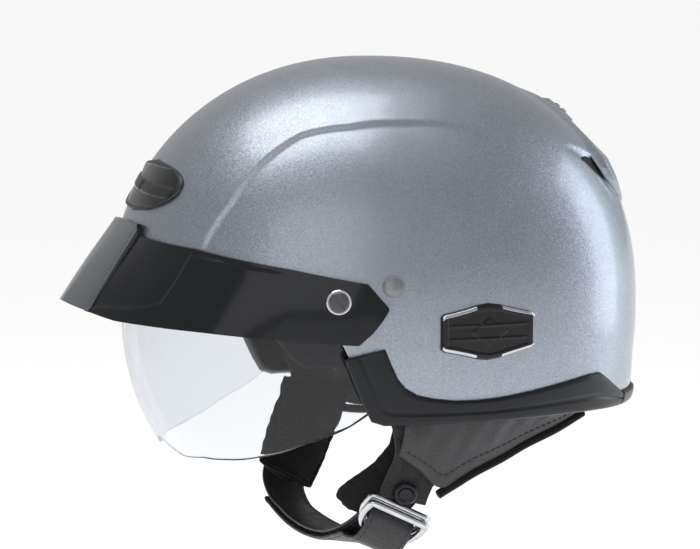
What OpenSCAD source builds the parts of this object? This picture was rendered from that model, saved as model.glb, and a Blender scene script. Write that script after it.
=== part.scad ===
// Open face motorcycle helmet with a screwed-on peak, a clear shield that drops out of
// the shell, edge trims, a comfort lining and a double D-ring chin strap.
// Front is -Y, the wearer's left is +X, up is +Z. The origin is where the crown of the
// wearer's head meets the lining, so the helmet hangs around and below it.

/* [Shell] */
// Outside width of the shell
shell_width = 230; // [200:1:260]
// Length of the shell from its widest section to the brow
front_len = 134; // [115:1:150]
// Length of the shell from its widest section to the back
back_len = 146; // [125:1:165]
// Height of the shell above its widest section
crown_h = 130; // [110:1:150]
// Thickness of the shell wall
shell_wall = 3.5; // [2.5:0.1:5]
// Depth of the rim below the widest section
rim_drop = 48; // [30:1:60]

/* [Lining] */
// Depth from the widest section up to the crown of the head
seat_h = 88; // [80:1:95]
// Half width inside the energy absorbing liner
liner_half = 84; // [78:1:88]
// Thickness of the comfort padding
pad_wall = 5; // [3:0.5:8]

/* [Shield] */
// Radius of the shield about its pivot line, at the middle
shield_r = 122; // [118:0.5:123]
// Half width of the shield at its pivots
shield_half = 103.5; // [98:0.5:105]
// Thickness of the shield
shield_wall = 2; // [1.5:0.1:3]
// Distance of the pivot line ahead of the widest section
pivot_fwd = 4.5; // [0:0.5:10]
// Distance of the pivot line below the widest section line
pivot_drop = 7.5; // [0:0.5:15]
// Radius of the pivot pins
pivot_pin_r = 4; // [3:0.1:6]

/* [Peak] */
// How far the peak stands out from the brow
peak_reach = 28; // [15:1:40]
// Thickness of the peak
peak_wall = 2.6; // [2:0.1:4]
// Height of the middle of the peak's top edge
peak_top = 47; // [40:1:52]
// Radius of the peak screw heads
screw_head_r = 5.5; // [4:0.1:8]

/* [Straps] */
// Width of the strap webbing
strap_w = 25; // [20:1:30]
// Thickness of the strap webbing
strap_t = 2; // [1.5:0.1:3]
// Wire radius of the D-rings
ring_wire_r = 1.9; // [1.5:0.1:3]
// Radius of the strap rivet heads
rivet_r = 5.5; // [4:0.1:8]

/* [Hidden] */
plan_exp = 2.2;
vexp_front = 2.07;
vexp_back = 2.3;
shield_exp = 2.4;
gap = 0.4;
fine = 48;
silver = [0.62, 0.65, 0.7];
black = [0.05, 0.05, 0.06];
steel = [0.75, 0.76, 0.78];
foam = [0.16, 0.16, 0.17];
cloth = [0.09, 0.09, 0.11];
// Rim height of the shell against the angle round from the front
rim_table = [[0, 18], [24, 17], [40, 15], [52, 11], [60, 7], [66, 2], [70, -3], [73, -8],
    [74.5, -16], [76.5, -28], [78.5, -40], [79.8, -46.5], [82, -48], [180, -47]];
shell_cols = [0, 8, 16, 24, 32, 40, 46, 52, 56, 60, 63, 66, 70, 73, 74.5, 76.5, 78.5, 79.8,
    82, 87, 92, 98, 104, 110, 116, 122, 128, 134, 140, 146, 153, 161, 170, 180];
liner_cols = [0, 12, 24, 36, 48, 56, 62, 67, 71, 74, 77, 80, 84, 88, 92, 96, 101, 107, 115,
    125, 136, 147, 158, 169, 180];
shell_rows = 13;
liner_rows = 14;

// ---- surface functions ----

function spow(v, e) = sign(v) * pow(abs(v), e);

function mix(a, b, f) = a + (b - a) * f;

function unit(v) = v / norm(v);

function shell_axes(off) =
    [shell_width / 2 + off, front_len + off, back_len + off, crown_h + off];

function vexp(t) = mix(vexp_back, vexp_front, (1 + cos(t)) / 2);

function phi_at(ax, t, z) = asin(spow(z / ax[3], vexp(t) / 2));

// Point of a domed surface at an angle round from the front and an angle up
function dome(ax, t, phi) =
    let (c = pow(cos(phi), 2 / vexp(t)))
    [ax[0] * c * spow(sin(t), 2 / plan_exp),
     -(cos(t) >= 0 ? ax[1] : ax[2]) * c * spow(cos(t), 2 / plan_exp),
     ax[3] * spow(sin(phi), 2 / vexp(t))];

function dome_z(ax, t, z) = dome(ax, t, phi_at(ax, t, z));

// Point at a distance off the shell's outer face
function on_shell(off, t, z) = dome_z(shell_axes(off), t, z);

function shell_normal(t, z) =
    let (p = on_shell(0, t, z), ax = shell_axes(0), b = p[1] < 0 ? ax[1] : ax[2])
    unit([spow(p[0] / ax[0], plan_exp - 1) / ax[0], spow(p[1] / b, plan_exp - 1) / b,
          spow(p[2] / ax[3], vexp(t) - 1) / ax[3]]);

// Point of the shell's back, at a distance off it, from its x and z
function rear_angle(x, z, n) =
    let (c = pow(1 - pow(abs(z) / crown_h, n), 1 / n))
    180 - asin(min(0.999, pow(abs(x) / (shell_width / 2) / c, plan_exp / 2)));

function rear_point(x, z, off) =
    let (t = rear_angle(x, z, vexp(rear_angle(x, z, vexp_back))))
    on_shell(off, x < 0 ? -t : t, z);

function rim_z(t) = lookup(abs(t), rim_table);

function whole(cols) = concat([for (i = [len(cols) - 2 : -1 : 1]) -cols[i]], cols);

function liner_axes(off) =
    [liner_half - off, 102 - off, 120 - off, seat_h + pad_wall + 1 - off];

// ---- mesh builders ----

// Two triangles for a corner loop that runs anticlockwise seen from outside
function quad(a, b, c, d) = [[a, d, c], [a, c, b]];

module bowl(outer, inner, cols, rows) {
    n = cols * rows;
    m = n + 1;
    skin = [for (v = [0 : rows - 2], u = [0 : cols - 1])
        let (w = (u + 1) % cols, i = v * cols)
        each concat(quad(i + u, i + w, i + cols + w, i + cols + u),
            quad(m + i + w, m + i + u, m + i + cols + u, m + i + cols + w))];
    tips = [for (u = [0 : cols - 1])
        let (w = (u + 1) % cols, i = (rows - 1) * cols)
        each [[i + u, n, i + w], [m + i + w, m + n, m + i + u]]];
    edge = [for (u = [0 : cols - 1])
        let (w = (u + 1) % cols)
        each quad(w, u, m + u, m + w)];
    polyhedron(concat(outer, inner), concat(skin, tips, edge), convexity = 8);
}

// A plate between two grids of points, each listed row by row with nu points in a row
module slab(outer, inner, nu, nv) {
    m = nu * nv;
    top = (nv - 1) * nu;
    skin = [for (v = [0 : nv - 2], u = [0 : nu - 2])
        let (i = v * nu + u)
        each concat(quad(i, i + 1, i + nu + 1, i + nu),
            quad(m + i + 1, m + i, m + i + nu, m + i + nu + 1))];
    ends = [for (u = [0 : nu - 2])
        each concat(quad(u + 1, u, m + u, m + u + 1),
            quad(top + u, top + u + 1, m + top + u + 1, m + top + u))];
    sides = [for (v = [0 : nv - 2])
        let (l = v * nu, r = v * nu + nu - 1)
        each concat(quad(l, l + nu, m + l + nu, m + l),
            quad(r + nu, r, m + r, m + r + nu))];
    polyhedron(concat(outer, inner), concat(skin, ends, sides), convexity = 8);
}

// A round bar along a path, with flat ends
module bar(path, r, n) {
    k = len(path);
    tan = [for (i = [0 : k - 1]) unit(path[min(k - 1, i + 1)] - path[max(0, i - 1)])];
    pts = [for (i = [0 : k - 1])
        let (a = unit(cross(tan[i], [0.1, 0.2, 1])), b = cross(tan[i], a))
        for (j = [0 : n - 1]) path[i] + r * (cos(360 * j / n) * a + sin(360 * j / n) * b)];
    walls = [for (i = [0 : k - 2], j = [0 : n - 1])
        let (w = (j + 1) % n)
        each quad(i * n + j, i * n + w, (i + 1) * n + w, (i + 1) * n + j)];
    caps = [[for (j = [0 : n - 1]) j], [for (j = [n - 1 : -1 : 0]) (k - 1) * n + j]];
    polyhedron(pts, concat(walls, caps), convexity = 6);
}

// A flat strap along a path; each path entry is [centre, width direction, width]
module strap(path, thick) {
    k = len(path);
    tan = [for (i = [0 : k - 1])
        unit(path[min(k - 1, i + 1)][0] - path[max(0, i - 1)][0])];
    nrm = [for (i = [0 : k - 1]) unit(cross(tan[i], path[i][1]))];
    face = [for (s = [1, -1], w = [-0.5, 0.5], i = [0 : k - 1])
        path[i][0] + s * thick / 2 * nrm[i] + w * path[i][2] * unit(path[i][1])];
    slab([for (i = [2 * k : 4 * k - 1]) face[i]], [for (i = [0 : 2 * k - 1]) face[i]], k, 2);
}

module on_right() mirror([1, 0, 0]) children();

// Puts a child drawn up +Z onto the shell's outer face, pointing outwards
module at_shell(t, z) {
    n = shell_normal(t, z);
    translate(on_shell(0, t, z)) rotate([0, acos(n[2]), atan2(n[1], n[0])]) children();
}

module seated(tint = black) color(tint) translate([0, 0, -seat_h]) children();

// ---- shell and liners ----

function dome_grid(cols, rows, off) =
    let (ax = shell_axes(off))
    concat([for (v = [0 : rows - 1], t = cols)
        let (p = phi_at(ax, t, rim_z(t)))
        dome(ax, t, mix(p, 90, v / rows))], [[0, 0, ax[3]]]);

module shell_blank() {
    cols = whole(shell_cols);
    bowl(dome_grid(cols, shell_rows, 0), dome_grid(cols, shell_rows, -shell_wall),
        len(cols), shell_rows);
}

screw_at = [72.3, 12];
rivet_at = [83.7, 19];

module outer_shell() {
    seated(silver) difference() {
        shell_blank();
        for (s = [-1, 1]) {
            at_shell(s * screw_at[0], screw_at[1]) cylinder(r = 2.6, h = 20, center = true, $fn = 24);
            at_shell(s * rivet_at[0], rivet_at[1]) cylinder(r = 2.6, h = 20, center = true, $fn = 24);
        }
    }
}

// Pulls a point inside the space that the shield sweeps through
function pocket(p) =
    let (y = p[1] + pivot_fwd, z = p[2] + pivot_drop, r = sqrt(y * y + z * z),
         a = atan2(z, -y), back = max(0, min(1, (a - 94) / 12)),
         low = max(0, min(1, (-62 - a) / 12)),
         near = max(0, min(1, (50 - r) / 10)), out = 1 - max(back, low) * (1 - near),
         k = pow(pow(r / (shield_r - 4.6), shield_exp)
             + pow(abs(p[0]) / (shield_half - 10.5), shield_exp), 1 / shield_exp),
         f = mix(1, min(1, 1 / k), out))
    [p[0] * f, y * f - pivot_fwd, z * f - pivot_drop];

function eps_rim(t) = lookup(abs(t), [[0, 21], [40, 18], [52, 14], [60, 10], [66, 5],
    [70, 0], [74, -8], [77, -22], [80, -35], [84, -38], [180, -38]]);

function eps_outer(cols) =
    let (ax = shell_axes(-shell_wall - 0.9))
    concat([for (v = [0 : liner_rows - 1], t = cols)
        let (p = phi_at(ax, t, eps_rim(t)))
        pocket(dome(ax, t, mix(p, 90, v / liner_rows)))], [[0, 0, ax[3]]]);

function lining_grid(cols, rows, off) =
    let (ax = liner_axes(off))
    concat([for (v = [0 : rows - 1], t = cols)
        let (p = phi_at(ax, t, eps_rim(t)))
        dome(ax, t, mix(p, 90, v / rows))], [[0, 0, ax[3]]]);

module eps_liner() {
    cols = whole(liner_cols);
    seated(foam) bowl(eps_outer(cols), lining_grid(cols, liner_rows, 0), len(cols), liner_rows);
}

crown_cols = [0, 15, 30, 45, 60, 75, 90, 105, 120, 135, 150, 165, 180];

function cap_grid(off, z0) =
    let (ax = liner_axes(off))
    concat([for (v = [0 : 5], t = whole(crown_cols))
        dome(ax, t, mix(phi_at(ax, t, z0), 90, v / 6))], [[0, 0, ax[3]]]);

module crown_pad() {
    seated(cloth) bowl(cap_grid(1, 38), cap_grid(1 + pad_wall, 38), len(whole(crown_cols)), 6);
}

// A pad against the liner between two angles, from its lower edge up to the crown pad
module wall_pad(angles, low, top) {
    nu = len(angles);
    seated(cloth) slab(
        [for (v = [0 : 4], t = angles) dome_z(liner_axes(1), t, mix(lookup(abs(t), low), top, v / 4))],
        [for (v = [0 : 4], t = angles)
            dome_z(liner_axes(1 + pad_wall), t, mix(lookup(abs(t), low), top, v / 4))],
        nu, 5);
}

module brow_pad() wall_pad([for (t = [-60 : 10 : 60]) t], [[0, 20], [40, 17], [60, 9]], 36);

module side_pad_left() {
    wall_pad([62, 66, 70, 74, 76, 78, 80, 84, 90, 97, 104, 111, 118, 124, 130],
        [[62, 8], [66, 4], [70, -1], [74, -9], [76, -20], [78, -31], [80, -38],
         [84, -44], [130, -44]], 36);
}

module side_pad_right() on_right() side_pad_left();

module nape_pad() wall_pad([for (t = [132 : 8 : 228]) t], [[0, -46], [360, -46]], 36);

// ---- trims: channels that grip the shell's rim ----

// Each edge entry is [angle, height, angle step, height step] for 1 mm off the rim
function rim_off(e, off, k) = on_shell(off, e[0] + e[2] * k, e[1] + e[3] * k);

module channel(edge, tops, wall, inside) {
    n = len(edge);
    out = gap + wall;
    lo = -shell_wall - gap;
    li = lo - wall;
    a = concat([for (e = edge) rim_off(e, li, -inside)], [for (e = edge) rim_off(e, li, out)],
        [for (e = edge) rim_off(e, out, out)],
        [for (v = [1 : 4], i = [0 : n - 1])
            on_shell(out, mix(edge[i][0], tops[i][0], v / 4), mix(edge[i][1], tops[i][1], v / 4))]);
    b = concat([for (e = edge) rim_off(e, lo, -inside)], [for (e = edge) rim_off(e, lo, gap)],
        [for (e = edge) rim_off(e, gap, gap)],
        [for (v = [1 : 4], i = [0 : n - 1])
            on_shell(gap, mix(edge[i][0], tops[i][0], v / 4), mix(edge[i][1], tops[i][1], v / 4))]);
    seated() slab(a, b, n, 7);
}

trim_edge = [[74.5, -16, -0.36, -0.2], [76.5, -28, -0.36, -0.3], [78.5, -40, -0.34, -0.4],
    [79.8, -46.5, -0.25, -0.7], [82, -48, 0, -1], [87, -48, 0, -1], [92, -48, 0, -1],
    [98, -48, 0, -1], [104, -48, 0, -1], [110, -47.8, 0, -1], [116, -47.7, 0, -1],
    [122, -47.6, 0, -1], [128, -47.5, 0, -1], [134, -47.4, 0, -1], [140, -47.4, 0, -1],
    [146, -47.3, 0, -1]];
trim_top = [[82, -12], [83.2, -19.5], [84.6, -27], [86.2, -32], [88.4, -35.6], [91.2, -38],
    [95, -39.4], [99.5, -39.6], [105, -38.8], [111, -37], [117, -35], [123, -33],
    [129, -31.2], [133, -30.8], [140, -38], [146, -43.4]];

module side_trim_left() channel(trim_edge, trim_top, 2.2, 3);

module side_trim_right() on_right() side_trim_left();

module rear_trim() {
    ang = [146.6, 153, 161, 170, 180, 190, 199, 207, 213.4];
    channel([for (t = ang) [t, -47.2, 0, -1]], [for (t = ang) [t, -43.2]], 2.2, 5);
}

module brow_beading() {
    ang = [0, 8, 16, 24, 32, 40, 46, 52, 56];
    half = [for (t = ang) [t, rim_z(t), 0, -0.9]];
    full = concat([for (i = [len(ang) - 1 : -1 : 1]) [-half[i][0], half[i][1], -half[i][2], -0.9]],
        half);
    channel(full, [for (e = full) [e[0] - 2 * e[2], e[1] + 3]], 0.9, 3);
}

// ---- peak ----

peak_cols = [0, 4, 8, 11.4, 12.4, 20, 28, 36, 44, 52, 60, 66, 70, 74, 76.6, 79.4, 81.2, 82.6];
peak_high = [[0, peak_top], [11.4, peak_top - 1], [12.4, peak_top - 6.5], [36, 36.6], [62, 28],
    [76.6, 21.6], [78.5, 20.8], [81.2, 13], [82.6, 9]];
peak_low = [[0, 5.6], [10, 3.4], [20, -0.4], [42, -3.4], [64, -7.6], [76.6, -9.6],
    [79.4, -3.6], [81.2, 2], [82.6, 7.4]];
peak_out = [[0, peak_reach], [10, 25], [20, 20], [30, 15.5], [42, 11], [54, 6.6], [62, 4.6],
    [76, 4.2], [82.6, 3.4], [90, 3.4]];

function peak_point(t, f, off) =
    let (a = abs(t), o = lookup(a, peak_out),
         band = a < 12 ? 1.2 : 0,
         d = mix(gap + peak_wall, o, pow(f, 1.2)) + band * (1 - f * 0.4) + off)
    on_shell(d, t, mix(lookup(a, peak_high), lookup(a, peak_low), f));

module peak() {
    cols = concat([for (i = [len(peak_cols) - 1 : -1 : 1]) -peak_cols[i]], peak_cols);
    seated() difference() {
        slab([for (v = [0 : 6], t = cols) peak_point(t, 1 - v / 6, 0)],
            [for (v = [0 : 6], t = cols) peak_point(t, 1 - v / 6, -peak_wall)],
            len(cols), 7);
        for (s = [-1, 1])
            at_shell(s * screw_at[0], screw_at[1]) cylinder(r = 2.7, h = 20, center = true, $fn = 24);
    }
}

module peak_clip() {
    seated() slab([for (v = [0 : 2], x = [-14, -7, 0, 7, 14])
            on_shell(1.6, x / 2.3, 38 + v * 3)],
        [for (v = [0 : 2], x = [-14, -7, 0, 7, 14]) on_shell(gap, x / 2.3, 38 + v * 3)], 5, 3);
}

module peak_screw_left() {
    seated(steel) at_shell(screw_at[0], screw_at[1]) {
        difference() {
            translate([0, 0, 4.5])
                cylinder(r1 = screw_head_r - 0.6, r2 = screw_head_r - 1.4, h = 1.8, $fn = fine);
            translate([0, 0, 6.2]) cube([1.6, 12, 1.8], center = true);
        }
        translate([0, 0, -4.8]) cylinder(r = 2.4, h = 9.4, $fn = 24);
    }
}

module peak_screw_right() on_right() peak_screw_left();

module peak_washer_left() {
    seated(steel) at_shell(screw_at[0], screw_at[1]) difference() {
        translate([0, 0, 3.7]) cylinder(r = screw_head_r + 0.3, h = 0.7, $fn = fine);
        translate([0, 0, 3]) cylinder(r = 2.7, h = 3, $fn = 24);
    }
}

module peak_washer_right() on_right() peak_washer_left();

module peak_nut_left() {
    seated(steel) at_shell(screw_at[0], screw_at[1]) difference() {
        translate([0, 0, -5.8]) cylinder(r = 6, h = 1.8, $fn = 6);
        translate([0, 0, -7]) cylinder(r = 2.5, h = 4, $fn = 24);
    }
}

module peak_nut_right() on_right() peak_nut_left();

// ---- fittings on the shell ----

module strap_rivet_left() {
    seated(steel) at_shell(rivet_at[0], rivet_at[1]) {
        intersection() {
            translate([0, 0, -9.6]) sphere(r = 11.9, $fn = fine);
            translate([0, 0, 0.3]) cylinder(r = rivet_r, h = 5, $fn = fine);
        }
        translate([0, 0, -5.4]) cylinder(r = 2.4, h = 5.8, $fn = 24);
        translate([0, 0, -6.5]) cylinder(r = 4.4, h = 1.3, $fn = fine);
    }
}

module strap_rivet_right() on_right() strap_rivet_left();

// The steel disc behind the shell that spreads the load of the webbing
module strap_hanger_left() {
    seated(steel) at_shell(rivet_at[0], rivet_at[1]) difference() {
        translate([0, 0, -4.9]) cylinder(r = 6.2, h = 0.8, $fn = fine);
        translate([0, 0, -8]) cylinder(r = 2.5, h = 8, $fn = 24);
    }
}

module strap_hanger_right() on_right() strap_hanger_left();

plaque_half = [[5.9, 8], [8, 9.6], [14, 10.8], [20, 12.2], [25.2, 13.6], [31.5, 14.4],
    [37.8, 13.6], [43, 12.2], [49, 10.8], [54.6, 9.6], [57, 8]];

// The plaque is a six-sided plate with raised ribs that follows the shell
module side_plaque_left() {
    n = len(plaque_half);
    back = [for (p = plaque_half) side_angle(p[0], -4)];
    seated() slab([for (v = [-1, -0.86, 0, 0.86, 1], i = [0 : n - 1])
            on_shell(abs(v) == 1 ? 1.4 : 2.6, back[i], -4.8 + v * plaque_half[i][1])],
        [for (v = [-1, -0.86, 0, 0.86, 1], i = [0 : n - 1])
            on_shell(0.3, back[i], -4.8 + v * plaque_half[i][1])], n, 5);
}

function side_angle(y, z) =
    let (c = pow(1 - pow(abs(z) / crown_h, 2.2), 1 / 2.2))
    90 + asin(pow(y / back_len / c, plan_exp / 2));

module side_plaque_right() on_right() side_plaque_left();

module front_badge() {
    w = 44;
    h = 13;
    ring = [for (v = [-1, -0.85, -0.5, 0, 0.5, 0.85, 1]) v];
    pts = [for (v = ring, u = [-1, -0.8, -0.5, -0.25, 0, 0.25, 0.5, 0.8, 1])
        let (x = u * w * pow(1 - pow(abs(v) * 0.96, 2.2), 0.4545), z = 64.5 + v * h * (1 - 0.1 * abs(u)))
        [x, z, abs(v) == 1 || abs(u) == 1 ? 0.9 : 1.6]];
    seated() slab([for (p = pts) on_shell(p[2], front_angle(p[0], p[1]), p[1])],
        [for (p = pts) on_shell(0.3, front_angle(p[0], p[1]), p[1])], 9, 7);
}

function front_angle(x, z) =
    let (c = pow(1 - pow(abs(z) / crown_h, vexp_front), 1 / vexp_front))
    sign(x) * asin(min(1, pow(abs(x) / (shell_width / 2) / c, plan_exp / 2)));

module rear_stud() {
    seated() at_shell(180, -13) translate([0, 0, 0.3]) cylinder(r1 = 6, r2 = 4.6, h = 2.6, $fn = fine);
}

// ---- rear fairing with the shield slider ----

fair_rows = [[114.5, 12], [111.5, 24], [106, 30], [100, 34], [92, 39], [84, 45],
    [80, 48], [76, 50.5], [72, 51.5], [66, 51], [60, 48], [54, 40], [50, 30]];
fair_cols = [-1, -0.9, -0.75, -0.55, -0.4, -0.25, 0, 0.25, 0.4, 0.55, 0.75, 0.9, 1];

function fair_x(u, w) = abs(u) <= 0.25 ? u * 44 * min(1, w / 24) : u * max(w, 18);

function fair_height(x, z, w) =
    let (l = lookup(z, [[50, 0], [56, 0.8], [66, 2.2], [76, 3], [82, 1.6], [90, 0.8], [116, 0.5]]))
    abs(x) < 11.5 && z > 86 ? 1 : 1 + l * min(1, (w - abs(x)) / 4 + 0.5);

module rear_fairing() {
    pts = [for (v = [len(fair_rows) - 1 : -1 : 0], u = fair_cols)
        let (r = fair_rows[v], x = -fair_x(u, r[1]))
        [x, r[0], fair_height(x, r[0], r[1])]];
    seated() slab([for (p = pts) rear_point(p[0], p[1], p[2])],
        [for (p = pts) rear_point(p[0], p[1], gap)], len(fair_cols), len(fair_rows));
}

module vent_grille_left() {
    seated() slab([for (v = [0, 1, 2], u = [0, 1, 2]) rear_point(60 - u * 3 + v, 71 + v * 4, 1.4)],
        [for (v = [0, 1, 2], u = [0, 1, 2]) rear_point(60 - u * 3 + v, 71 + v * 4, gap)], 3, 3);
}

module vent_grille_right() on_right() vent_grille_left();

// The slider rides on an arc about an axis inside the shell
slide_y = 25;
slide_z = 4;
slide_r = 125.8;

module slider_button() {
    seated() translate([-9, slide_y, slide_z]) rotate([0, 90, 0]) rotate([0, 0, 135.5]) {
        rotate_extrude(angle = 8, $fn = 180) translate([slide_r, 0]) square([2, 18]);
        for (turn = [2.6, 4.6])
            rotate([0, 0, turn]) rotate_extrude(angle = 1, $fn = 180)
                translate([slide_r + 1.9, 0]) square([1, 18]);
    }
}

// ---- shield and its pivots ----

shield_low = [[0, -29.5], [12, -31.5], [26, -34], [45, -34.8], [60, -37.4], [75, -41],
    [88, -46], [93, -50], [98.5, -58], [101.5, -66], [104, -76]];
shield_x = [0, 8, 16, 26, 36, 45, 54, 62, 69, 75, 81, 86, 90, 93.5, 96.4, 98.8, 100.6,
    101.8, 102.5, 103, 103.3];

function shield_point(x, a, inset) =
    let (k = (shield_half - inset) / shield_half, r = (shield_r - inset)
        * pow(1 - pow(abs(x) / shield_half, shield_exp), 1 / shield_exp))
    [x * k, -pivot_fwd - r * cos(a), -pivot_drop + r * sin(a)];

module shield() {
    xs = concat([for (i = [len(shield_x) - 1 : -1 : 1]) -shield_x[i]], shield_x);
    low = [for (x = xs) lookup(abs(x), shield_low)];
    n = len(xs);
    seated([0.8, 0.85, 0.9, 0.35]) slab(
        [for (v = [0 : 8], i = [0 : n - 1]) shield_point(xs[i], mix(low[i], 14, v / 8), 0)],
        [for (v = [0 : 8], i = [0 : n - 1]) shield_point(xs[i], mix(low[i], 14, v / 8), shield_wall)],
        n, 9);
}

hub_x = shield_half - shield_wall - 2.3;

module at_pivot(x) {
    seated() translate([x, -pivot_fwd, -pivot_drop]) rotate([0, 90, 0]) children();
}

module shield_hub_left() {
    at_pivot(hub_x - 0.6) difference() {
        cylinder(r = 17, h = 2.1, $fn = fine);
        translate([0, 0, -1]) cylinder(r = pivot_pin_r + 0.06, h = 5, $fn = fine);
    }
}

module shield_hub_right() on_right() shield_hub_left();

module pivot_plate_left() {
    at_pivot(hub_x - 3.6) {
        cylinder(r = 20, h = 2, $fn = fine);
        cylinder(r = pivot_pin_r, h = 8.6, $fn = fine);
    }
}

module pivot_plate_right() on_right() pivot_plate_left();

module pivot_cap_left() {
    at_pivot(shield_half + 0.7) {
        cylinder(r = 9, h = 1.6, $fn = fine);
    }
}

module pivot_cap_right() on_right() pivot_cap_left();

// ---- chin strap ----

// Width direction of a strap that is rolled by an angle, with its front edge up
function rolled(a) = [0, cos(a), -sin(a)];

// Strap entries from points of [x, y, z, roll]
function strap_run(points, w) = [for (p = points) [[p[0], p[1], p[2]], rolled(p[3]), w]];

chin_run = [[-107.2, -15, 12, 0], [-107.8, -13, 0, 0], [-107.4, -11, -14, 0],
    [-105.4, -7, -27, 0], [-102.6, -3, -37, 0], [-95.6, -1.4, -47, 4], [-92, -1.6, -56, 12],
    [-88.6, -6, -68, 22], [-83, -12.6, -82, 24], [-74.6, -20.4, -95, 24],
    [-66, -25.6, -105, 22], [-53, -25.6, -113.4, 18], [-38, -23, -117.8, 13],
    [-22, -20.8, -120.2, 8], [0, -18.6, -121, 6], [22, -16.6, -119.6, 8],
    [40, -15, -116.4, 14], [51, -13.2, -113.4, 20], [57.4, -11.3, -110.4, 24],
    [62.6, -9.4, -106.9, 25.5], [67, -7.6, -103.3, 25.5], [71.2, -6.5, -101.4, 25.5],
    [75.4, -6.7, -101.8, 25.5], [78.2, -7.9, -104.3, 25.5], [78.6, -9.8, -108.3, 25.5],
    [76.2, -12.4, -113.7, 25.5], [71, -14.7, -118.3, 25.5], [60, -15.8, -119.2, 24],
    [52, -15.8, -118, 20], [41, -16.4, -119.8, 14], [22.6, -17.6, -123, 8],
    [0, -19.6, -124.4, 6], [-22.4, -21.8, -123.6, 8], [-39, -24, -121.2, 13],
    [-53, -26.4, -117, 18], [-58.6, -27.4, -113.8, 20]];
buckle_run = [[107.2, -17, 12, 0], [107.8, -15, 0, 0], [107.4, -12, -14, 0],
    [105.4, -7.4, -27, 0], [102.6, -3, -37, 0], [95.6, -1.4, -47, 4], [92.6, 1.2, -56, 12],
    [90, 3.2, -66, 18], [87.2, 2.6, -75, 23], [84.6, -0.2, -83, 25], [82.8, -2.2, -89, 25.5],
    [81.8, -3.3, -93.4, 25.5]];

module chin_strap() {
    seated() strap(strap_run(chin_run, strap_w), strap_t);
}

module buckle_strap() {
    seated() strap(strap_run(buckle_run, strap_w), strap_t);
}

ring_bar = [81.4, 0.4, 5.1];
ring_centre = [0, -7, -101.5];
ring_tilt = 44;
ring_roll = 25.5;
ring_half = 16;
ring_step = 5;

// A D-ring lying along the strap, hung from its straight bar
module d_ring(out) {
    seated(steel) translate(ring_centre) rotate([-ring_roll, 0, 0]) translate(ring_bar)
        rotate([0, ring_tilt, 0]) translate([out, 0, 0]) rotate([0, 90, 0]) {
            translate([0, -ring_half, 0]) rotate([-90, 0, 0])
                cylinder(r = ring_wire_r, h = 2 * ring_half, $fn = 20);
            for (s = [-1, 1])
                translate([0, s * ring_half, 0]) rotate([0, 90, 0])
                    cylinder(r = ring_wire_r, h = 6, $fn = 20);
            for (s = [-1, 1])
                translate([0, s * ring_half, 0]) sphere(r = ring_wire_r, $fn = 20);
            translate([6, 0, 0]) rotate([0, 0, -90]) rotate_extrude(angle = 180, $fn = 40)
                translate([ring_half, 0]) circle(r = ring_wire_r, $fn = 20);
        }
}

module d_ring_inner() d_ring(0);

module d_ring_outer() d_ring(ring_step);

function pad_run(points) = [for (p = points) [[p[0], p[1], p[2]], rolled(p[3]), p[4]]];

module strap_pad_left() {
    seated(cloth) strap(pad_run([[88.2, 5, -50, 4, 32], [86.4, 6, -58, 14, 33],
        [83.4, 5, -68, 21, 34], [78.4, 0.6, -79, 24, 36], [71.4, -6, -87.4, 25, 37],
        [64, -12, -93.6, 25, 37], [57, -16.6, -99.4, 24, 34], [51.4, -19, -103.6, 22, 28]]), 6);
}

module strap_pad_right() {
    seated(cloth) strap(pad_run([[-88.6, 0, -50, 4, 38], [-85.2, -2.6, -58, 14, 40],
        [-80.8, -8, -70, 21, 40], [-74, -16, -84.6, 24, 39], [-64.9, -23, -96.4, 24, 36],
        [-57, -27.4, -103.2, 24, 31]]), 6);
}

// ---- neck panels ----

panel_top = [[98.2, -6, -49.6], [98.4, 8, -49.6], [98.2, 20, -47], [96.7, 33, -45],
    [93.2, 50, -45], [87.6, 70, -45], [79.9, 88, -45], [70.2, 102.6, -45]];
panel_low = [[94, -8, -69], [92.4, 3, -77], [90.6, 13.6, -86], [88.8, 23, -81.5],
    [87.2, 34, -76], [84.4, 49, -70], [80.8, 64, -63.4], [76, 82, -57], [69.4, 99, -50]];

// The lower edge on the right, which its strap draws up
panel_drawn = [[96.4, -8, -60], [95.4, 3, -63], [93.6, 13.6, -65], [90.8, 23, -66],
    [88, 34, -66], [84.8, 49, -65.4], [80.8, 64, -62], [76, 82, -56.4], [69.4, 99, -50]];

function along(k, list) =
    let (a = floor(k), b = min(len(list) - 1, a + 1))
    mix(list[a], list[b], k - a);

module neck_panel(low) {
    n = len(low);
    pts = [for (v = [0 : 3], i = [0 : n - 1])
        let (p = mix(low[i], along(i * (len(panel_top) - 1) / (n - 1), panel_top), v / 3))
        p + [1.4 * sin(60 * v), 0, 0]];
    seated() slab([for (p = pts) p + [-1.6, -1.2, 0]], [for (p = pts) p + [0.6, 0.4, 0]], n, 4);
}

module neck_piping(low) {
    seated() bar([for (i = [2 : len(low) - 1]) low[i] + [-0.6, -0.4, -4]], 2.4, 10);
}

module nape_panel_left() neck_panel(panel_low);

module nape_panel_right() on_right() neck_panel(panel_drawn);

module nape_piping_left() neck_piping(panel_low);

module nape_piping_right() on_right() neck_piping(panel_drawn);

// ---- snaps ----

module strap_snap() {
    seated(steel) translate([82.9, -2.1, -88.7]) rotate([0, 111.5, -12.3]) difference() {
        translate([0, 0, 2.2]) cylinder(r1 = 6.5, r2 = 5.8, h = 2, $fn = fine);
        translate([0, 0, 3.4]) cylinder(r = 3.4, h = 3, $fn = 32);
    }
}

module tail_snap() {
    seated(steel) translate([-47, -25.4, -119.2]) rotate([-17, 0, 0]) rotate([0, 196, 0])
        translate([0, 0, 1.6]) cylinder(r = 6, h = 2.6, $fn = fine);
}

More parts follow.
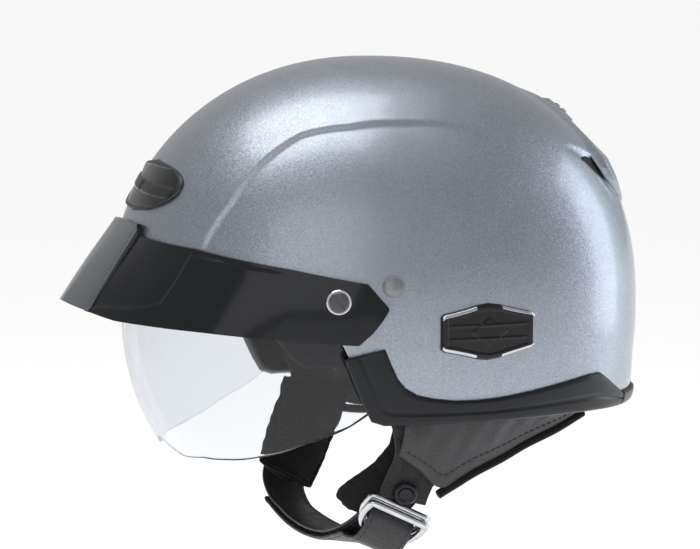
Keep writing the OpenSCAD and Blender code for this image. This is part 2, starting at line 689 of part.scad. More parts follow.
outer_shell();
eps_liner();
crown_pad();
brow_pad();
side_pad_left();
side_pad_right();
nape_pad();
side_trim_left();
side_trim_right();
rear_trim();
brow_beading();
peak();
peak_clip();
peak_screw_left();
peak_screw_right();
peak_washer_left();
peak_washer_right();
peak_nut_left();
peak_nut_right();
strap_rivet_left();
strap_rivet_right();
strap_hanger_left();
strap_hanger_right();
side_plaque_left();
side_plaque_right();
front_badge();
rear_stud();
rear_fairing();
vent_grille_left();
vent_grille_right();
slider_button();
shield();
shield_hub_left();
shield_hub_right();
pivot_plate_left();
pivot_plate_right();
pivot_cap_left();
pivot_cap_right();
chin_strap();
buckle_strap();
d_ring_inner();
d_ring_outer();
strap_pad_left();
strap_pad_right();
nape_panel_left();
nape_panel_right();
nape_piping_left();
nape_piping_right();
strap_snap();
tail_snap();
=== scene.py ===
# Open face motorcycle helmet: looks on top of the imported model.
# Lengths in the shape functions are millimetres in the shell's own axes (origin on the
# shell's widest section, front -Y, wearer's left +X); to_m() moves them into the frame.
import math

import bmesh
import bpy
import numpy as np
from mathutils import Matrix, Vector
from mathutils.bvhtree import BVHTree


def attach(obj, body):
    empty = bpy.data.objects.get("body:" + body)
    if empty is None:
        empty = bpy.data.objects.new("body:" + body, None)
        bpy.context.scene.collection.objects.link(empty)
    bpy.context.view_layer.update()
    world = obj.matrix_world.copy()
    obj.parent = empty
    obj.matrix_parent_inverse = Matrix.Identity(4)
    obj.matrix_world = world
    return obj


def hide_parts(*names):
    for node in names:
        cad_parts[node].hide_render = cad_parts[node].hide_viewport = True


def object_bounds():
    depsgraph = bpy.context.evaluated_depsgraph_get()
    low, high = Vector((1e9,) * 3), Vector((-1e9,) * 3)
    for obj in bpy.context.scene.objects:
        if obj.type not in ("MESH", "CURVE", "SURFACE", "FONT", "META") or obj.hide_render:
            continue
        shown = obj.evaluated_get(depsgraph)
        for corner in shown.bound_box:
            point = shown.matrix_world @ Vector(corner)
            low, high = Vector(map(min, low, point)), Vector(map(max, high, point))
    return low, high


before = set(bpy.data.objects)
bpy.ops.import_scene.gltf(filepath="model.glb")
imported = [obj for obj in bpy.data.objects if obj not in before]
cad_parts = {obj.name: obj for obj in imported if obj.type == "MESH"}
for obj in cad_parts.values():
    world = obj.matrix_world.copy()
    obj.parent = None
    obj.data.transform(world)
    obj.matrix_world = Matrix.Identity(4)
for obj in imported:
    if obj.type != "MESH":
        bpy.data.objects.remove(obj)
cad_lo, cad_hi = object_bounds()

# ---- driving sizes, as in the CAD ----
SEAT = 88.0
HALF_W, FRONT, BACK, CROWN = 115.0, 134.0, 146.0, 130.0
WALL = 3.5
PLAN, V_FRONT, V_BACK = 2.2, 2.07, 2.3
LINER = (84.0, 102.0, 120.0, 94.0)
PAD = 5.0
SHIELD_R, SHIELD_X, SHIELD_N, SHIELD_WALL = 122.0, 103.5, 2.4, 2.0
PIVOT_Y, PIVOT_Z = -4.5, -7.5
PEAK_WALL = 2.6
SCREW_AT, RIVET_AT = (72.3, 12.0), (83.7, 19.0)
GAP = 0.4

RIM = [(0, 18), (24, 17), (40, 15), (52, 11), (60, 7), (66, 2), (70, -3), (73, -8),
       (74.5, -16), (76.5, -28), (78.5, -40), (79.8, -46.5), (82, -48), (180, -47)]


# ---- surface functions ----
def lookup(v, table):
    table = np.asarray(table, float)
    return np.interp(v, table[:, 0], table[:, 1])


def smooth(v, a, b):
    f = np.clip((np.asarray(v, float) - a) / (b - a), 0, 1)
    return f * f * (3 - 2 * f)


def spow(v, e):
    return np.sign(v) * np.abs(v) ** e


def mix(a, b, f):
    return a + (b - a) * f


def shell_axes(off):
    return HALF_W + off, FRONT + off, BACK + off, CROWN + off


def vexp(t):
    return mix(V_BACK, V_FRONT, (1 + np.cos(np.radians(t))) / 2)


def phi_at(ax, t, z):
    return np.degrees(np.arcsin(np.clip(spow(z / ax[3], vexp(t) / 2), -1, 1)))


def dome(ax, t, phi):
    t, phi = np.broadcast_arrays(np.asarray(t, float), np.asarray(phi, float))
    n = vexp(t)
    rt, rp = np.radians(t), np.radians(phi)
    c = np.abs(np.cos(rp)) ** (2 / n)
    length = np.where(np.cos(rt) >= 0, ax[1], ax[2])
    return np.stack([ax[0] * c * spow(np.sin(rt), 2 / PLAN),
                     -length * c * spow(np.cos(rt), 2 / PLAN),
                     ax[3] * spow(np.sin(rp), 2 / n)], -1)


def dome_at(ax, t, z):
    """Point at an angle and a height on a dome of half axes (side, front, back, crown)."""
    n = vexp(t)
    s = np.clip(np.abs(z) / ax[3], 0, 1)
    c = np.maximum(1 - s ** n, 0) ** (1 / n)
    rt = np.radians(t)
    length = np.where(np.cos(rt) >= 0, ax[1], ax[2])
    return np.stack([ax[0] * c * spow(np.sin(rt), 2 / PLAN),
                     -length * c * spow(np.cos(rt), 2 / PLAN), z], -1)


def on_shell(off, t, z):
    """Point at a distance off the shell; off, t and z may be arrays."""
    off, t, z = np.broadcast_arrays(*(np.asarray(v, float) for v in (off, t, z)))
    return dome_at(shell_axes(off), t, z)


def rear_angle(x, z):
    n = V_BACK
    for _ in range(4):
        c = np.maximum(1 - (np.abs(z) / CROWN) ** n, 1e-6) ** (1 / n)
        s = np.clip((np.abs(x) / HALF_W / c) ** (PLAN / 2), 0, 0.9999)
        t = 180 - np.degrees(np.arcsin(s))
        n = vexp(t)
    return np.where(np.asarray(x) < 0, -t, t)


def rear_point(x, z, off):
    return on_shell(off, rear_angle(x, z), z)


def front_angle(x, z):
    c = np.maximum(1 - (np.abs(z) / CROWN) ** V_FRONT, 1e-6) ** (1 / V_FRONT)
    return np.degrees(np.arcsin(np.clip(spow(x / HALF_W / c, PLAN / 2), -1, 1)))


def side_angle(y, z):
    c = np.maximum(1 - (np.abs(z) / CROWN) ** 2.2, 1e-6) ** (1 / 2.2)
    return 90 + np.degrees(np.arcsin(np.clip(spow(y / BACK / c, PLAN / 2), -1, 1)))


def shell_frame(t, z):
    """Matrix that puts +Z along the shell's outward direction at a place on it."""
    p = on_shell(0, t, z)
    a = on_shell(0, t + 0.5, z) - on_shell(0, t - 0.5, z)
    b = on_shell(0, t, z + 0.5) - on_shell(0, t, z - 0.5)
    n = Vector(np.cross(a, b)).normalized()
    return Matrix.Translation(to_m(p)) @ n.to_track_quat("Z", "Y").to_matrix().to_4x4()


def to_m(p):
    return Vector((p[0] * 0.001, p[1] * 0.001, (p[2] - SEAT) * 0.001))


# ---- mesh helpers ----
def link(obj, mat, body, nodes=()):
    bpy.context.scene.collection.objects.link(obj)
    if mat is not None:
        obj.data.materials.append(mat)
    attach(obj, body)
    if nodes:
        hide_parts(*nodes)
    return obj


def mesh_object(name, points, faces, mat, body="helmet", nodes=(), slot=None, sharp=None):
    pts = np.asarray(points, float).reshape(-1, 3).copy()
    pts[:, 2] -= SEAT
    mesh = bpy.data.meshes.new(name)
    mesh.from_pydata((pts * 0.001).tolist(), [], faces)
    mesh.validate()
    mesh.shade_smooth()
    if sharp:
        mesh.set_sharp_from_angle(angle=math.radians(sharp))
    mesh.update()
    return link(bpy.data.objects.new(name, mesh), mat, body, nodes)


def grid_faces(nv, nu, wrap_u=False, wrap_v=False, start=0):
    v = np.arange(nv if wrap_v else nv - 1)[:, None]
    u = np.arange(nu if wrap_u else nu - 1)[None]
    v2, u2 = (v + 1) % nv, (u + 1) % nu
    q = np.stack(np.broadcast_arrays(v * nu + u, v * nu + u2, v2 * nu + u2, v2 * nu + u), -1)
    return (q.reshape(-1, 4) + start).tolist()


def end_faces(rings, around):
    """The two faces that close a run of rings."""
    return [list(range(around))[::-1], list(range((rings - 1) * around, rings * around))]


def bowl(name, rows, mat, **kw):
    """Closed cup: rows of rings from the outer tip, down, round the rim and up inside."""
    nv, nu, _ = rows.shape
    tips = [rows[0].mean(0), rows[-1].mean(0)]
    faces = [f[::-1] for f in grid_faces(nv, nu, wrap_u=True)]
    base, last = nv * nu, (nv - 1) * nu
    for u in range(nu):
        w = (u + 1) % nu
        faces.append([base, u, w])
        faces.append([base + 1, last + w, last + u])
    return mesh_object(name, np.vstack([rows.reshape(-1, 3), tips]), faces, mat, **kw)


def plate(name, outer, inner, mat, edge=0.0, segments=2, **kw):
    """Plate between two point grids (nv, nu, 3), with rounded edges of radius edge in mm."""
    nv, nu, _ = outer.shape
    m = nv * nu
    faces = grid_faces(nv, nu) + [f[::-1] for f in grid_faces(nv, nu, start=m)]
    u, v = np.arange(nu - 1), np.arange(nv - 1)
    top = (nv - 1) * nu
    faces += np.stack([u + 1, u, m + u, m + u + 1], -1).tolist()
    faces += np.stack([top + u, top + u + 1, m + top + u + 1, m + top + u], -1).tolist()
    left, right = v * nu, v * nu + nu - 1
    faces += np.stack([left, left + nu, m + left + nu, m + left], -1).tolist()
    faces += np.stack([right + nu, right, m + right, m + right + nu], -1).tolist()
    obj = mesh_object(name, np.vstack([outer.reshape(-1, 3), inner.reshape(-1, 3)]), faces, mat, **kw)
    if edge:
        bevel(obj, edge, segments)
    return obj


def bevel(obj, width, segments=2, angle=50):
    mod = obj.modifiers.new("edge", "BEVEL")
    mod.width = width * 0.001
    mod.segments = segments
    mod.limit_method = "ANGLE"
    mod.angle_limit = math.radians(angle)


def tube(name, path, radius, mat, around=14, closed=False, **kw):
    path = np.asarray(path, float)
    k = len(path)
    ahead = np.roll(path, -1, 0) if closed else np.vstack([path[1:], path[-1:]])
    behind = np.roll(path, 1, 0) if closed else np.vstack([path[:1], path[:-1]])
    tan = ahead - behind
    tan /= np.linalg.norm(tan, axis=1)[:, None]
    a = np.cross(tan, [0.13, 0.21, 1.0])
    a /= np.linalg.norm(a, axis=1)[:, None]
    b = np.cross(tan, a)
    ang = np.linspace(0, 2 * np.pi, around, endpoint=False)
    rad = np.broadcast_to(np.asarray(radius, float).reshape(-1, 1, 1), (k, 1, 1))
    ring = path[:, None] + rad * (np.cos(ang)[None, :, None] * a[:, None]
                                  + np.sin(ang)[None, :, None] * b[:, None])
    faces = grid_faces(k, around, wrap_u=True, wrap_v=closed)
    if not closed:
        faces += end_faces(k, around)
    return mesh_object(name, ring, faces, mat, **kw)


def lathe(name, profile, mat, matrix, around=64, nodes=()):
    """Solid of revolution from [(radius, height)] in mm, on a matrix in the frame."""
    prof = np.asarray(profile, float)
    ang = np.linspace(0, 2 * np.pi, around, endpoint=False)
    pts = []
    for r, h in prof:
        pts += [(r * math.cos(a), r * math.sin(a), h) for a in ang]
    faces = grid_faces(len(prof), around, wrap_u=True)
    faces += end_faces(len(prof), around)
    mesh = bpy.data.meshes.new(name)
    mesh.from_pydata((np.array(pts) * 0.001).tolist(), [], faces)
    mesh.validate()
    mesh.shade_smooth()
    mesh.set_sharp_from_angle(angle=math.radians(35))
    mesh.transform(matrix)
    return link(bpy.data.objects.new(name, mesh), mat, "helmet", nodes)


def resample(path, count):
    """Smooth curve through a few points, evenly spaced (Catmull-Rom)."""
    p = np.asarray(path, float)
    q = np.vstack([2 * p[0] - p[1], p, 2 * p[-1] - p[-2]])
    out = []
    for i in range(1, len(q) - 2):
        for s in np.linspace(0, 1, 24, endpoint=False):
            a, b, c, d = q[i - 1], q[i], q[i + 1], q[i + 2]
            out.append(0.5 * (2 * b + (c - a) * s + (2 * a - 5 * b + 4 * c - d) * s * s
                              + (3 * b - a - 3 * c + d) * s ** 3))
    out = np.array(out + [p[-1]])
    dist = np.r_[0, np.cumsum(np.linalg.norm(np.diff(out[:, :3], axis=0), axis=1))]
    want = np.linspace(0, dist[-1], count)
    return np.stack([np.interp(want, dist, out[:, k]) for k in range(out.shape[1])], -1)


def mirrored(obj, name, nodes=(), body="helmet"):
    """The same piece on the wearer's right."""
    twin = obj.copy()
    twin.name = name
    twin.data = obj.data.copy()
    twin.data.transform(Matrix.Scale(-1, 4, (1, 0, 0)))
    twin.data.flip_normals()
    for key in list(twin.keys()):
        if key.startswith("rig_"):
            del twin[key]
    twin.parent = None
    return link(twin, None, body, nodes)


def sweep(name, sections, mat, wrap=False, **kw):
    """Solid through closed sections (k, m, 3), with a UV of length along and round, in metres."""
    k, m, _ = sections.shape
    faces = grid_faces(k, m, wrap_u=True, wrap_v=wrap)
    if not wrap:
        faces += end_faces(k, m)
    obj = mesh_object(name, sections, faces, mat, **kw)
    along = np.r_[0, np.cumsum(np.linalg.norm(np.diff(sections.mean(1), axis=0), axis=1))]
    step = np.linalg.norm(sections[0] - np.roll(sections[0], 1, 0), axis=1)
    around = np.cumsum(step)
    uv = obj.data.uv_layers.new(name="strap")
    for poly in obj.data.polygons:
        for li, vi in zip(poly.loop_indices, poly.vertices):
            uv.data[li].uv = (along[vi // m] * 0.001, around[vi % m] * 0.001)
    return obj


def strap_sections(path, thick, square=5.0, around=36, crown=0.0, count=140):
    """Flat sections along [(x, y, z, roll, width)]; roll lifts the front edge, in degrees."""
    p = resample(path, count)
    pts, roll, wide = p[:, :3], np.radians(p[:, 3]), p[:, 4]
    tan = np.gradient(pts, axis=0)
    tan /= np.linalg.norm(tan, axis=1)[:, None]
    side = np.stack([0 * roll, np.cos(roll), -np.sin(roll)], -1)
    side = side - tan * np.sum(side * tan, axis=1, keepdims=True)
    side /= np.linalg.norm(side, axis=1)[:, None]
    out = np.cross(tan, side)
    a = np.linspace(0, 2 * np.pi, around, endpoint=False)
    cx, cy = spow(np.cos(a), 2 / square), spow(np.sin(a), 2 / square)
    t = np.broadcast_to(np.asarray(thick, float), (count,))
    puff = 1 + crown * (1 - cx[None] ** 2)
    return (pts[:, None] + (cx[None] * wide[:, None] / 2)[..., None] * side[:, None]
            + (cy[None] * t[:, None] / 2 * puff)[..., None] * out[:, None])


def stitches(name, path, mat, length=2.6, pitch=3.6, radius=0.33, **kw):
    """A row of thread stitches along a line of points."""
    line = np.asarray(path, float)
    dist = np.r_[0, np.cumsum(np.linalg.norm(np.diff(line, axis=0), axis=1))]
    pts, faces = [], []
    ang = np.linspace(0, 2 * np.pi, 6, endpoint=False)
    for s in np.arange(pitch / 2, dist[-1] - length, pitch):
        stops = [(0.0, 0.3), (0.18, 0.9), (0.5, 1.0), (0.82, 0.9), (1.0, 0.3)]
        c = [np.array([np.interp(s + f * length, dist, line[:, k]) for k in range(3)])
             for f, _ in stops]
        d = c[-1] - c[0]
        d /= np.linalg.norm(d)
        a = np.cross(d, [0.3, 0.1, 1.0])
        a /= np.linalg.norm(a)
        b = np.cross(d, a)
        base = len(pts)
        for p, (_, r) in zip(c, stops):
            pts += [p + radius * r * (math.cos(w) * a + math.sin(w) * b) for w in ang]
        faces += grid_faces(5, 6, wrap_u=True, start=base)
        faces += [[base + i for i in range(5, -1, -1)], [base + 24 + i for i in range(6)]]
    return mesh_object(name, np.array(pts), faces, mat, **kw)


# ---- materials ----
def material(name, base, rough, metal=0.0, coat=0.0, coat_rough=0.03, sheen=0.0, ior=1.5,
             clear=0.0, spec=0.5):
    m = bpy.data.materials.new(name)
    m.use_nodes = True
    for key, val in (("Base Color", (*base, 1)), ("Roughness", rough), ("Metallic", metal),
                     ("Coat Weight", coat), ("Coat Roughness", coat_rough), ("IOR", ior),
                     ("Sheen Weight", sheen), ("Sheen Roughness", 0.5),
                     ("Transmission Weight", clear), ("Specular IOR Level", spec)):
        surface(m).inputs[key].default_value = val
    m.diffuse_color = (*base, 1)
    return m


def add(m, kind):
    return m.node_tree.nodes.new(kind)


def wire(m, a, b):
    m.node_tree.links.new(a, b)


def place(m):
    """Object coordinates in metres, shared by the textures of a material."""
    found = [n for n in m.node_tree.nodes if n.type == "TEX_COORD"]
    return (found[0] if found else add(m, "ShaderNodeTexCoord")).outputs["Object"]


def noise(m, scale, detail=4.0, rough=0.55):
    n = add(m, "ShaderNodeTexNoise")
    n.inputs["Scale"].default_value = scale
    n.inputs["Detail"].default_value = detail
    n.inputs["Roughness"].default_value = rough
    wire(m, place(m), n.inputs["Vector"])
    return n.outputs["Fac"]


def cells(m, scale, feature="F1", out="Distance"):
    n = add(m, "ShaderNodeTexVoronoi")
    n.feature = feature
    n.inputs["Scale"].default_value = scale
    wire(m, place(m), n.inputs["Vector"])
    return n.outputs[out]


def feed(m, node, values):
    """Sets a node's first inputs from numbers or from other nodes' outputs."""
    for socket, v in zip(node.inputs, values):
        if isinstance(v, (int, float)):
            socket.default_value = v
        elif v is not None:
            wire(m, v, socket)


def math_node(m, op, a, b=None):
    n = add(m, "ShaderNodeMath")
    n.operation = op
    feed(m, n, (a, b))
    return n.outputs[0]


def remap(m, value, lo, hi, out_lo, out_hi):
    n = add(m, "ShaderNodeMapRange")
    feed(m, n, (value, lo, hi, out_lo, out_hi))
    return n.outputs[0]


def surface(m):
    return m.node_tree.nodes["Principled BSDF"]


def tones(m, value, *stops):
    """Colour ramp on the base colour from (position, colour) stops."""
    n = add(m, "ShaderNodeValToRGB")
    ramp = n.color_ramp
    while len(ramp.elements) < len(stops):
        ramp.elements.new(0.5)
    for e, (at, col) in zip(ramp.elements, stops):
        e.position = at
        e.color = (*col, 1)
    wire(m, value, n.inputs["Fac"])
    wire(m, n.outputs["Color"], surface(m).inputs["Base Color"])


def roughen(m, value, lo, hi):
    wire(m, remap(m, value, 0.3, 0.7, lo, hi), surface(m).inputs["Roughness"])


def relief(m, height, depth_mm):
    """Bump of a given depth; calls stack up."""
    n = add(m, "ShaderNodeBump")
    n.inputs["Strength"].default_value = 1.0
    n.inputs["Distance"].default_value = depth_mm * 0.001
    wire(m, height, n.inputs["Height"])
    socket = surface(m).inputs["Normal"]
    if socket.is_linked:
        wire(m, socket.links[0].from_socket, n.inputs["Normal"])
    wire(m, n.outputs["Normal"], socket)


def shade(col, k):
    return tuple(c * k for c in col)


def vector_node(m, op, source):
    n = add(m, "ShaderNodeVectorMath")
    n.operation = op
    wire(m, source, n.inputs[0])
    return n


def paint_material(name, base, rough, metal=0.9):
    """Metallic lacquer: tilted flakes in the base layer under a soft clear coat."""
    flake_scale, flake_tilt = 2400, 0.11
    m = material(name, base, rough, metal=metal, coat=0.7, coat_rough=0.16)
    flake = cells(m, flake_scale, out="Color")
    grey = add(m, "ShaderNodeRGBToBW")
    wire(m, flake, grey.inputs[0])
    tones(m, grey.outputs[0], (0.0, shade(base, 0.72)), (0.45, base), (0.8, shade(base, 1.1)),
          (1.0, shade(base, 1.6)))
    tilt = vector_node(m, "SUBTRACT", flake)
    tilt.inputs[1].default_value = (0.5, 0.5, 0.5)
    leaning = vector_node(m, "MULTIPLY_ADD", tilt.outputs[0])
    leaning.inputs[1].default_value = (flake_tilt, flake_tilt, flake_tilt)
    wire(m, add(m, "ShaderNodeNewGeometry").outputs["Normal"], leaning.inputs[2])
    facet = vector_node(m, "NORMALIZE", leaning.outputs[0])
    wire(m, facet.outputs[0], surface(m).inputs["Normal"])
    roughen(m, noise(m, 60), rough * 0.92, rough * 1.1)
    return m


def plastic_material(name, base, rough, grain=1800, depth=0.03, coat=0.0, spec=0.3):
    m = material(name, base, rough, coat=coat, coat_rough=0.05, spec=spec)
    n = noise(m, grain, 3)
    relief(m, n, depth)
    cloud = noise(m, 70)
    roughen(m, cloud, rough * 0.85, rough * 1.2)
    tones(m, cloud, (0.3, shade(base, 0.85)), (0.7, shade(base, 1.2)))
    return m


def metal_material(name, base, rough):
    m = material(name, base, rough, metal=1.0)
    relief(m, noise(m, 2600, 2), 0.012)
    scuff = noise(m, 90, 6, 0.7)
    roughen(m, scuff, rough * 0.75, rough * 1.5)
    tones(m, scuff, (0.3, shade(base, 0.8)), (0.6, base))
    return m


def cloth_material(name, base, pile=2600, loop=900, depth=0.16):
    """Brushed knit: rows of small loops under a short pile."""
    m = material(name, base, 0.95, sheen=0.12, spec=0.1)
    relief(m, cells(m, loop), depth)
    fibre = noise(m, pile, 5, 0.7)
    relief(m, fibre, depth * 0.7)
    # Painted highlight and shade: lighter on the raised fibres and darker between them, from the
    # noise that makes the fibre bump.
    tones(m, fibre, (0.3, shade(base, 0.6)), (0.55, base), (0.75, shade(base, 2.2)))
    return m


def leather_material(name, base, grain=620, rough=0.34):
    m = material(name, base, rough, coat=0.12, coat_rough=0.3)
    g = cells(m, grain, "DISTANCE_TO_EDGE")
    relief(m, remap(m, g, 0.0, 0.16, 0.0, 1.0), 0.09)
    soft = noise(m, 120, 5)
    relief(m, soft, 0.5)
    roughen(m, soft, rough * 0.8, rough * 1.3)
    # Painted shade and highlight: darker in the grain creases and lighter on the raised grain, from
    # the cells that make the bump.
    tones(m, g, (0.0, shade(base, 0.55)), (0.2, base), (0.7, shade(base, 1.25)))
    return m


def webbing_material(name, base):
    """Herringbone weave along the strap's own UV."""
    pitch, zig = 0.0016, 0.0042
    m = material(name, base, 0.72, sheen=0.25, spec=0.35)
    uv = add(m, "ShaderNodeUVMap")
    uv.uv_map = "strap"
    sep = add(m, "ShaderNodeSeparateXYZ")
    wire(m, uv.outputs[0], sep.inputs[0])
    zigzag = math_node(m, "PINGPONG", sep.outputs[1], zig)
    phase = math_node(m, "ADD", sep.outputs[0], zigzag)
    rib = math_node(m, "SINE", math_node(m, "MULTIPLY", phase, 2 * math.pi / pitch))
    height = remap(m, rib, -1.0, 1.0, 0.0, 1.0)
    relief(m, height, 0.28)
    fibre = noise(m, 3200, 3)
    relief(m, fibre, 0.06)
    # Painted shade and highlight: the colour follows the rib height, dark in the grooves and light on
    # the crests.
    tones(m, height, (0.0, shade(base, 0.4)), (0.6, base), (1.0, shade(base, 1.9)))
    return m


SILVER = (0.31, 0.34, 0.39)
M = {
    "paint": paint_material("silver_lacquer", SILVER, 0.4),
    # band: the peak's centre strip painted grey, a painted reflection of the lit surroundings on the
    # black plastic.
    "band": paint_material("peak_band_painted_reflection", (0.10, 0.112, 0.125), 0.42, metal=0.5),
    "peak": plastic_material("gloss_black", (0.005, 0.006, 0.008), 0.14, 420, 0.02, coat=0.15),
    "trim": plastic_material("satin_charcoal", (0.006, 0.007, 0.010), 0.34, 2400, 0.03),
    "vent": plastic_material("satin_black", (0.008, 0.008, 0.009), 0.5, 2000, 0.04),
    "rubber": plastic_material("edge_rubber", (0.012, 0.012, 0.013), 0.55, 1500, 0.05),
    "plaque": plastic_material("plaque_black", (0.004, 0.004, 0.006), 0.18, 900, 0.02, coat=0.1),
    "foam": plastic_material("liner_foam", (0.02, 0.02, 0.022), 0.85, 300, 0.35),
    "bright": metal_material("bright_edge", (0.62, 0.64, 0.67), 0.2),
    "chrome": metal_material("plated_ring", (0.66, 0.67, 0.69), 0.13),
    "screw": metal_material("dark_screw", (0.10, 0.10, 0.105), 0.34),
    "plate": metal_material("plain_steel", (0.38, 0.38, 0.40), 0.4),
    "snap": metal_material("black_snap", (0.035, 0.035, 0.04), 0.3),
    "badge": metal_material("badge_dark", (0.06, 0.065, 0.07), 0.38),
    "rivet": paint_material("rivet_grey", (0.20, 0.21, 0.225), 0.42, metal=0.6),
    "lining": cloth_material("lining_knit", (0.016, 0.014, 0.020)),
    "pad": cloth_material("pad_brushed", (0.011, 0.011, 0.012), 3000, 1300, 0.12),
    "piping": cloth_material("piping_tape", (0.010, 0.010, 0.011), 3000, 1500, 0.1),
    "leather": leather_material("neck_leather", (0.026, 0.027, 0.030)),
    "strap": leather_material("strap_leather", (0.034, 0.035, 0.038), 760, 0.5),
    "webbing": webbing_material("woven_strap", (0.014, 0.014, 0.016)),
    "thread": cloth_material("thread", (0.05, 0.05, 0.055), 4000, 3000, 0.05),
}
relief(M["foam"], cells(M["foam"], 260), 0.5)


def shield_material():
    """Clear polycarbonate; its darkening where seen edge on is painted shade for the dark
    surroundings seen through it at a grazing angle.
    """
    m = material("shield_clear", (0.93, 0.95, 0.97), 0.02, clear=1.0, ior=1.30)
    # Painted shade: the base colour darkens towards grazing angles, standing in for dark surroundings
    # seen through the edge.
    facing = add(m, "ShaderNodeLayerWeight")
    facing.inputs["Blend"].default_value = 0.35
    tones(m, facing.outputs["Facing"], (0.0, (0.90, 0.92, 0.945)), (0.6, (0.82, 0.845, 0.88)),
          (0.93, (0.32, 0.35, 0.39)))
    smear = noise(m, 35, 5)
    roughen(m, smear, 0.015, 0.05)
    return m


M["shield"] = shield_material()


# ---- shell ----
CREASE = [(-112, 68), (-104, 71), (-91, 73.6), (-74, 72.3), (-54, 72.4), (-30, 77.6),
          (-4, 79.7), (20, 80.6), (40, 82)]
VENT_LINE = np.array([[66.5, 89.6, 84.4], [62.0, 96.5, 81.8], [57.4, 104.0, 78.0],
                      [53.4, 111.6, 73.0], [51.6, 119.4, 63.6]])
VENT_SHAPE = [(0.0, 0.8, 0.0), (0.25, 3.2, 1.2), (0.55, 6.0, 3.0), (0.72, 7.2, 3.6),
              (0.86, 7.4, 2.2), (1.0, 6.6, 0.0)]
CREASE_STEP, FLARE = 1.15, 2.6
OUTER_ROWS = 150


def shell_normals(p):
    b = np.where(p[..., 1] < 0, FRONT, BACK)
    t = np.degrees(np.arctan2(np.abs(p[..., 0]) / HALF_W, -p[..., 1] / b))
    n = vexp(t)
    g = np.stack([spow(p[..., 0] / HALF_W, PLAN - 1) / HALF_W, spow(p[..., 1] / b, PLAN - 1) / b,
                  spow(p[..., 2] / CROWN, n - 1) / CROWN], -1)
    return g / np.maximum(np.linalg.norm(g, axis=-1, keepdims=True), 1e-9)


def near_line(p, line):
    """Distance to a line of points and the fraction along it, with x folded to one side."""
    q = p.copy()
    q[..., 0] = np.abs(q[..., 0])
    best = np.full(p.shape[:-1], 1e9)
    frac = np.zeros(p.shape[:-1])
    count = len(line) - 1
    for i in range(count):
        a, d = line[i], line[i + 1] - line[i]
        f = ((q - a) @ d) / (d @ d)
        f = np.clip(f, 0, 1)
        dist = np.linalg.norm(q - a - f[..., None] * d, axis=-1)
        hit = dist < best
        best[hit] = dist[hit]
        frac[hit] = ((i + f) / count)[hit]
    return best, frac


def shell_relief(p, t):
    """How far the outer face stands off the plain dome, in mm."""
    x, y, z = np.abs(p[..., 0]), p[..., 1], p[..., 2]
    xc = lookup(y, CREASE)
    fade = smooth(z, 18, 44) * (1 - smooth(y, -6, 44))
    step = smooth(x - xc, -0.9, 1.3) * np.exp(-np.maximum(x - xc, 0) / 26)
    bead = np.exp(-((x - xc + 1.5) / 1.5) ** 2)
    d = fade * (0.35 * bead - CREASE_STEP * step)
    d = d + FLARE * smooth(np.abs(t), 116, 152) * smooth(-z, 20, 47) ** 1.4
    dist, f = near_line(p, VENT_LINE)
    table = np.array(VENT_SHAPE)
    half = np.interp(f, table[:, 0], table[:, 1])
    deep = np.interp(f, table[:, 0], table[:, 2])
    bowl_in = np.clip(1 - (dist / half) ** 2, 0, 1) ** 0.8
    lip = np.exp(-((dist - half - 0.6) / 1.5) ** 2) * smooth(f, 0.55, 0.9)
    return d - deep * bowl_in + 0.5 * lip


def raised(off, t, z):
    """Point off the finished shell face, its crease and flare included."""
    p = on_shell(0, t, z)
    return p + (shell_relief(p, t) + np.asarray(off, float))[..., None] * shell_normals(p)


def rim_height(t):
    return np.mean([lookup(np.abs(t + s), RIM) for s in np.linspace(-1.0, 1.0, 7)], 0)


def shell_columns():
    even = np.linspace(-180, 180, 560, endpoint=False)
    ears = np.arange(64, 85, 0.4)
    return np.unique(np.round(np.concatenate([even, ears, -ears]), 4))


def make_shell():
    t = shell_columns()
    rim = rim_height(t)
    ax = shell_axes(0)
    rows = []
    p_rim = phi_at(ax, t, rim + 0.7)
    for f in np.linspace(0.992, 0, OUTER_ROWS):
        p = dome(ax, t, mix(p_rim, 90, f))
        rows.append(p + shell_relief(p, t)[:, None] * shell_normals(p))
    for off, up in ((-0.4, 0.2), (-1.2, 0.0), (-2.3, 0.0), (-3.1, 0.2)):
        p = on_shell(0, t, rim + up)
        rows.append(p + (shell_relief(p, t) + off)[:, None] * shell_normals(p))
    ax_in = shell_axes(-WALL)
    p_in = phi_at(ax_in, t, rim + 0.7)
    for f in np.linspace(0, 0.985, 40):
        p = dome(ax_in, t, mix(p_in, 90, f))
        flare = FLARE * smooth(np.abs(t), 116, 152) * smooth(-p[:, 2], 20, 47) ** 1.4
        rows.append(p + flare[:, None] * shell_normals(p))
    obj = bowl("shell_body", np.array(rows), M["paint"], nodes=("outer_shell",),
               slot="shell_paint")
    obj.data.materials.append(M["vent"])
    inside_from = (OUTER_ROWS + 1) * len(t)
    for poly in obj.data.polygons:
        if all(v > inside_from for v in poly.vertices):
            poly.material_index = 1


make_shell()


def make_vents():
    """Dark mesh at the bottom of each rear vent groove."""
    line = resample(VENT_LINE, 60)[26:50]
    nv, nu = len(line), 15
    across = np.cross(np.gradient(line, axis=0), shell_normals(line))
    across /= np.linalg.norm(across, axis=1)[:, None]
    rows = []
    for i, (p, a) in enumerate(zip(line, across)):
        half = 4.4 * math.sin(math.pi * (i + 0.7) / (nv + 0.4)) ** 0.6
        rows.append([p + a * half * u for u in np.linspace(-1, 1, nu)])
    grid = np.array(rows)
    n = shell_normals(grid)
    ribs = 0.45 * np.abs(np.sin(np.arange(nv) * 0.9))[:, None, None]
    top = grid + n * (-1.6 + ribs)
    obj = plate("vent_mesh_left", top, grid - n * 2.9, M["vent"], nodes=("vent_grille_left",),
                slot="vent_plastic")
    mirrored(obj, "vent_mesh_right", ("vent_grille_right",))


make_vents()


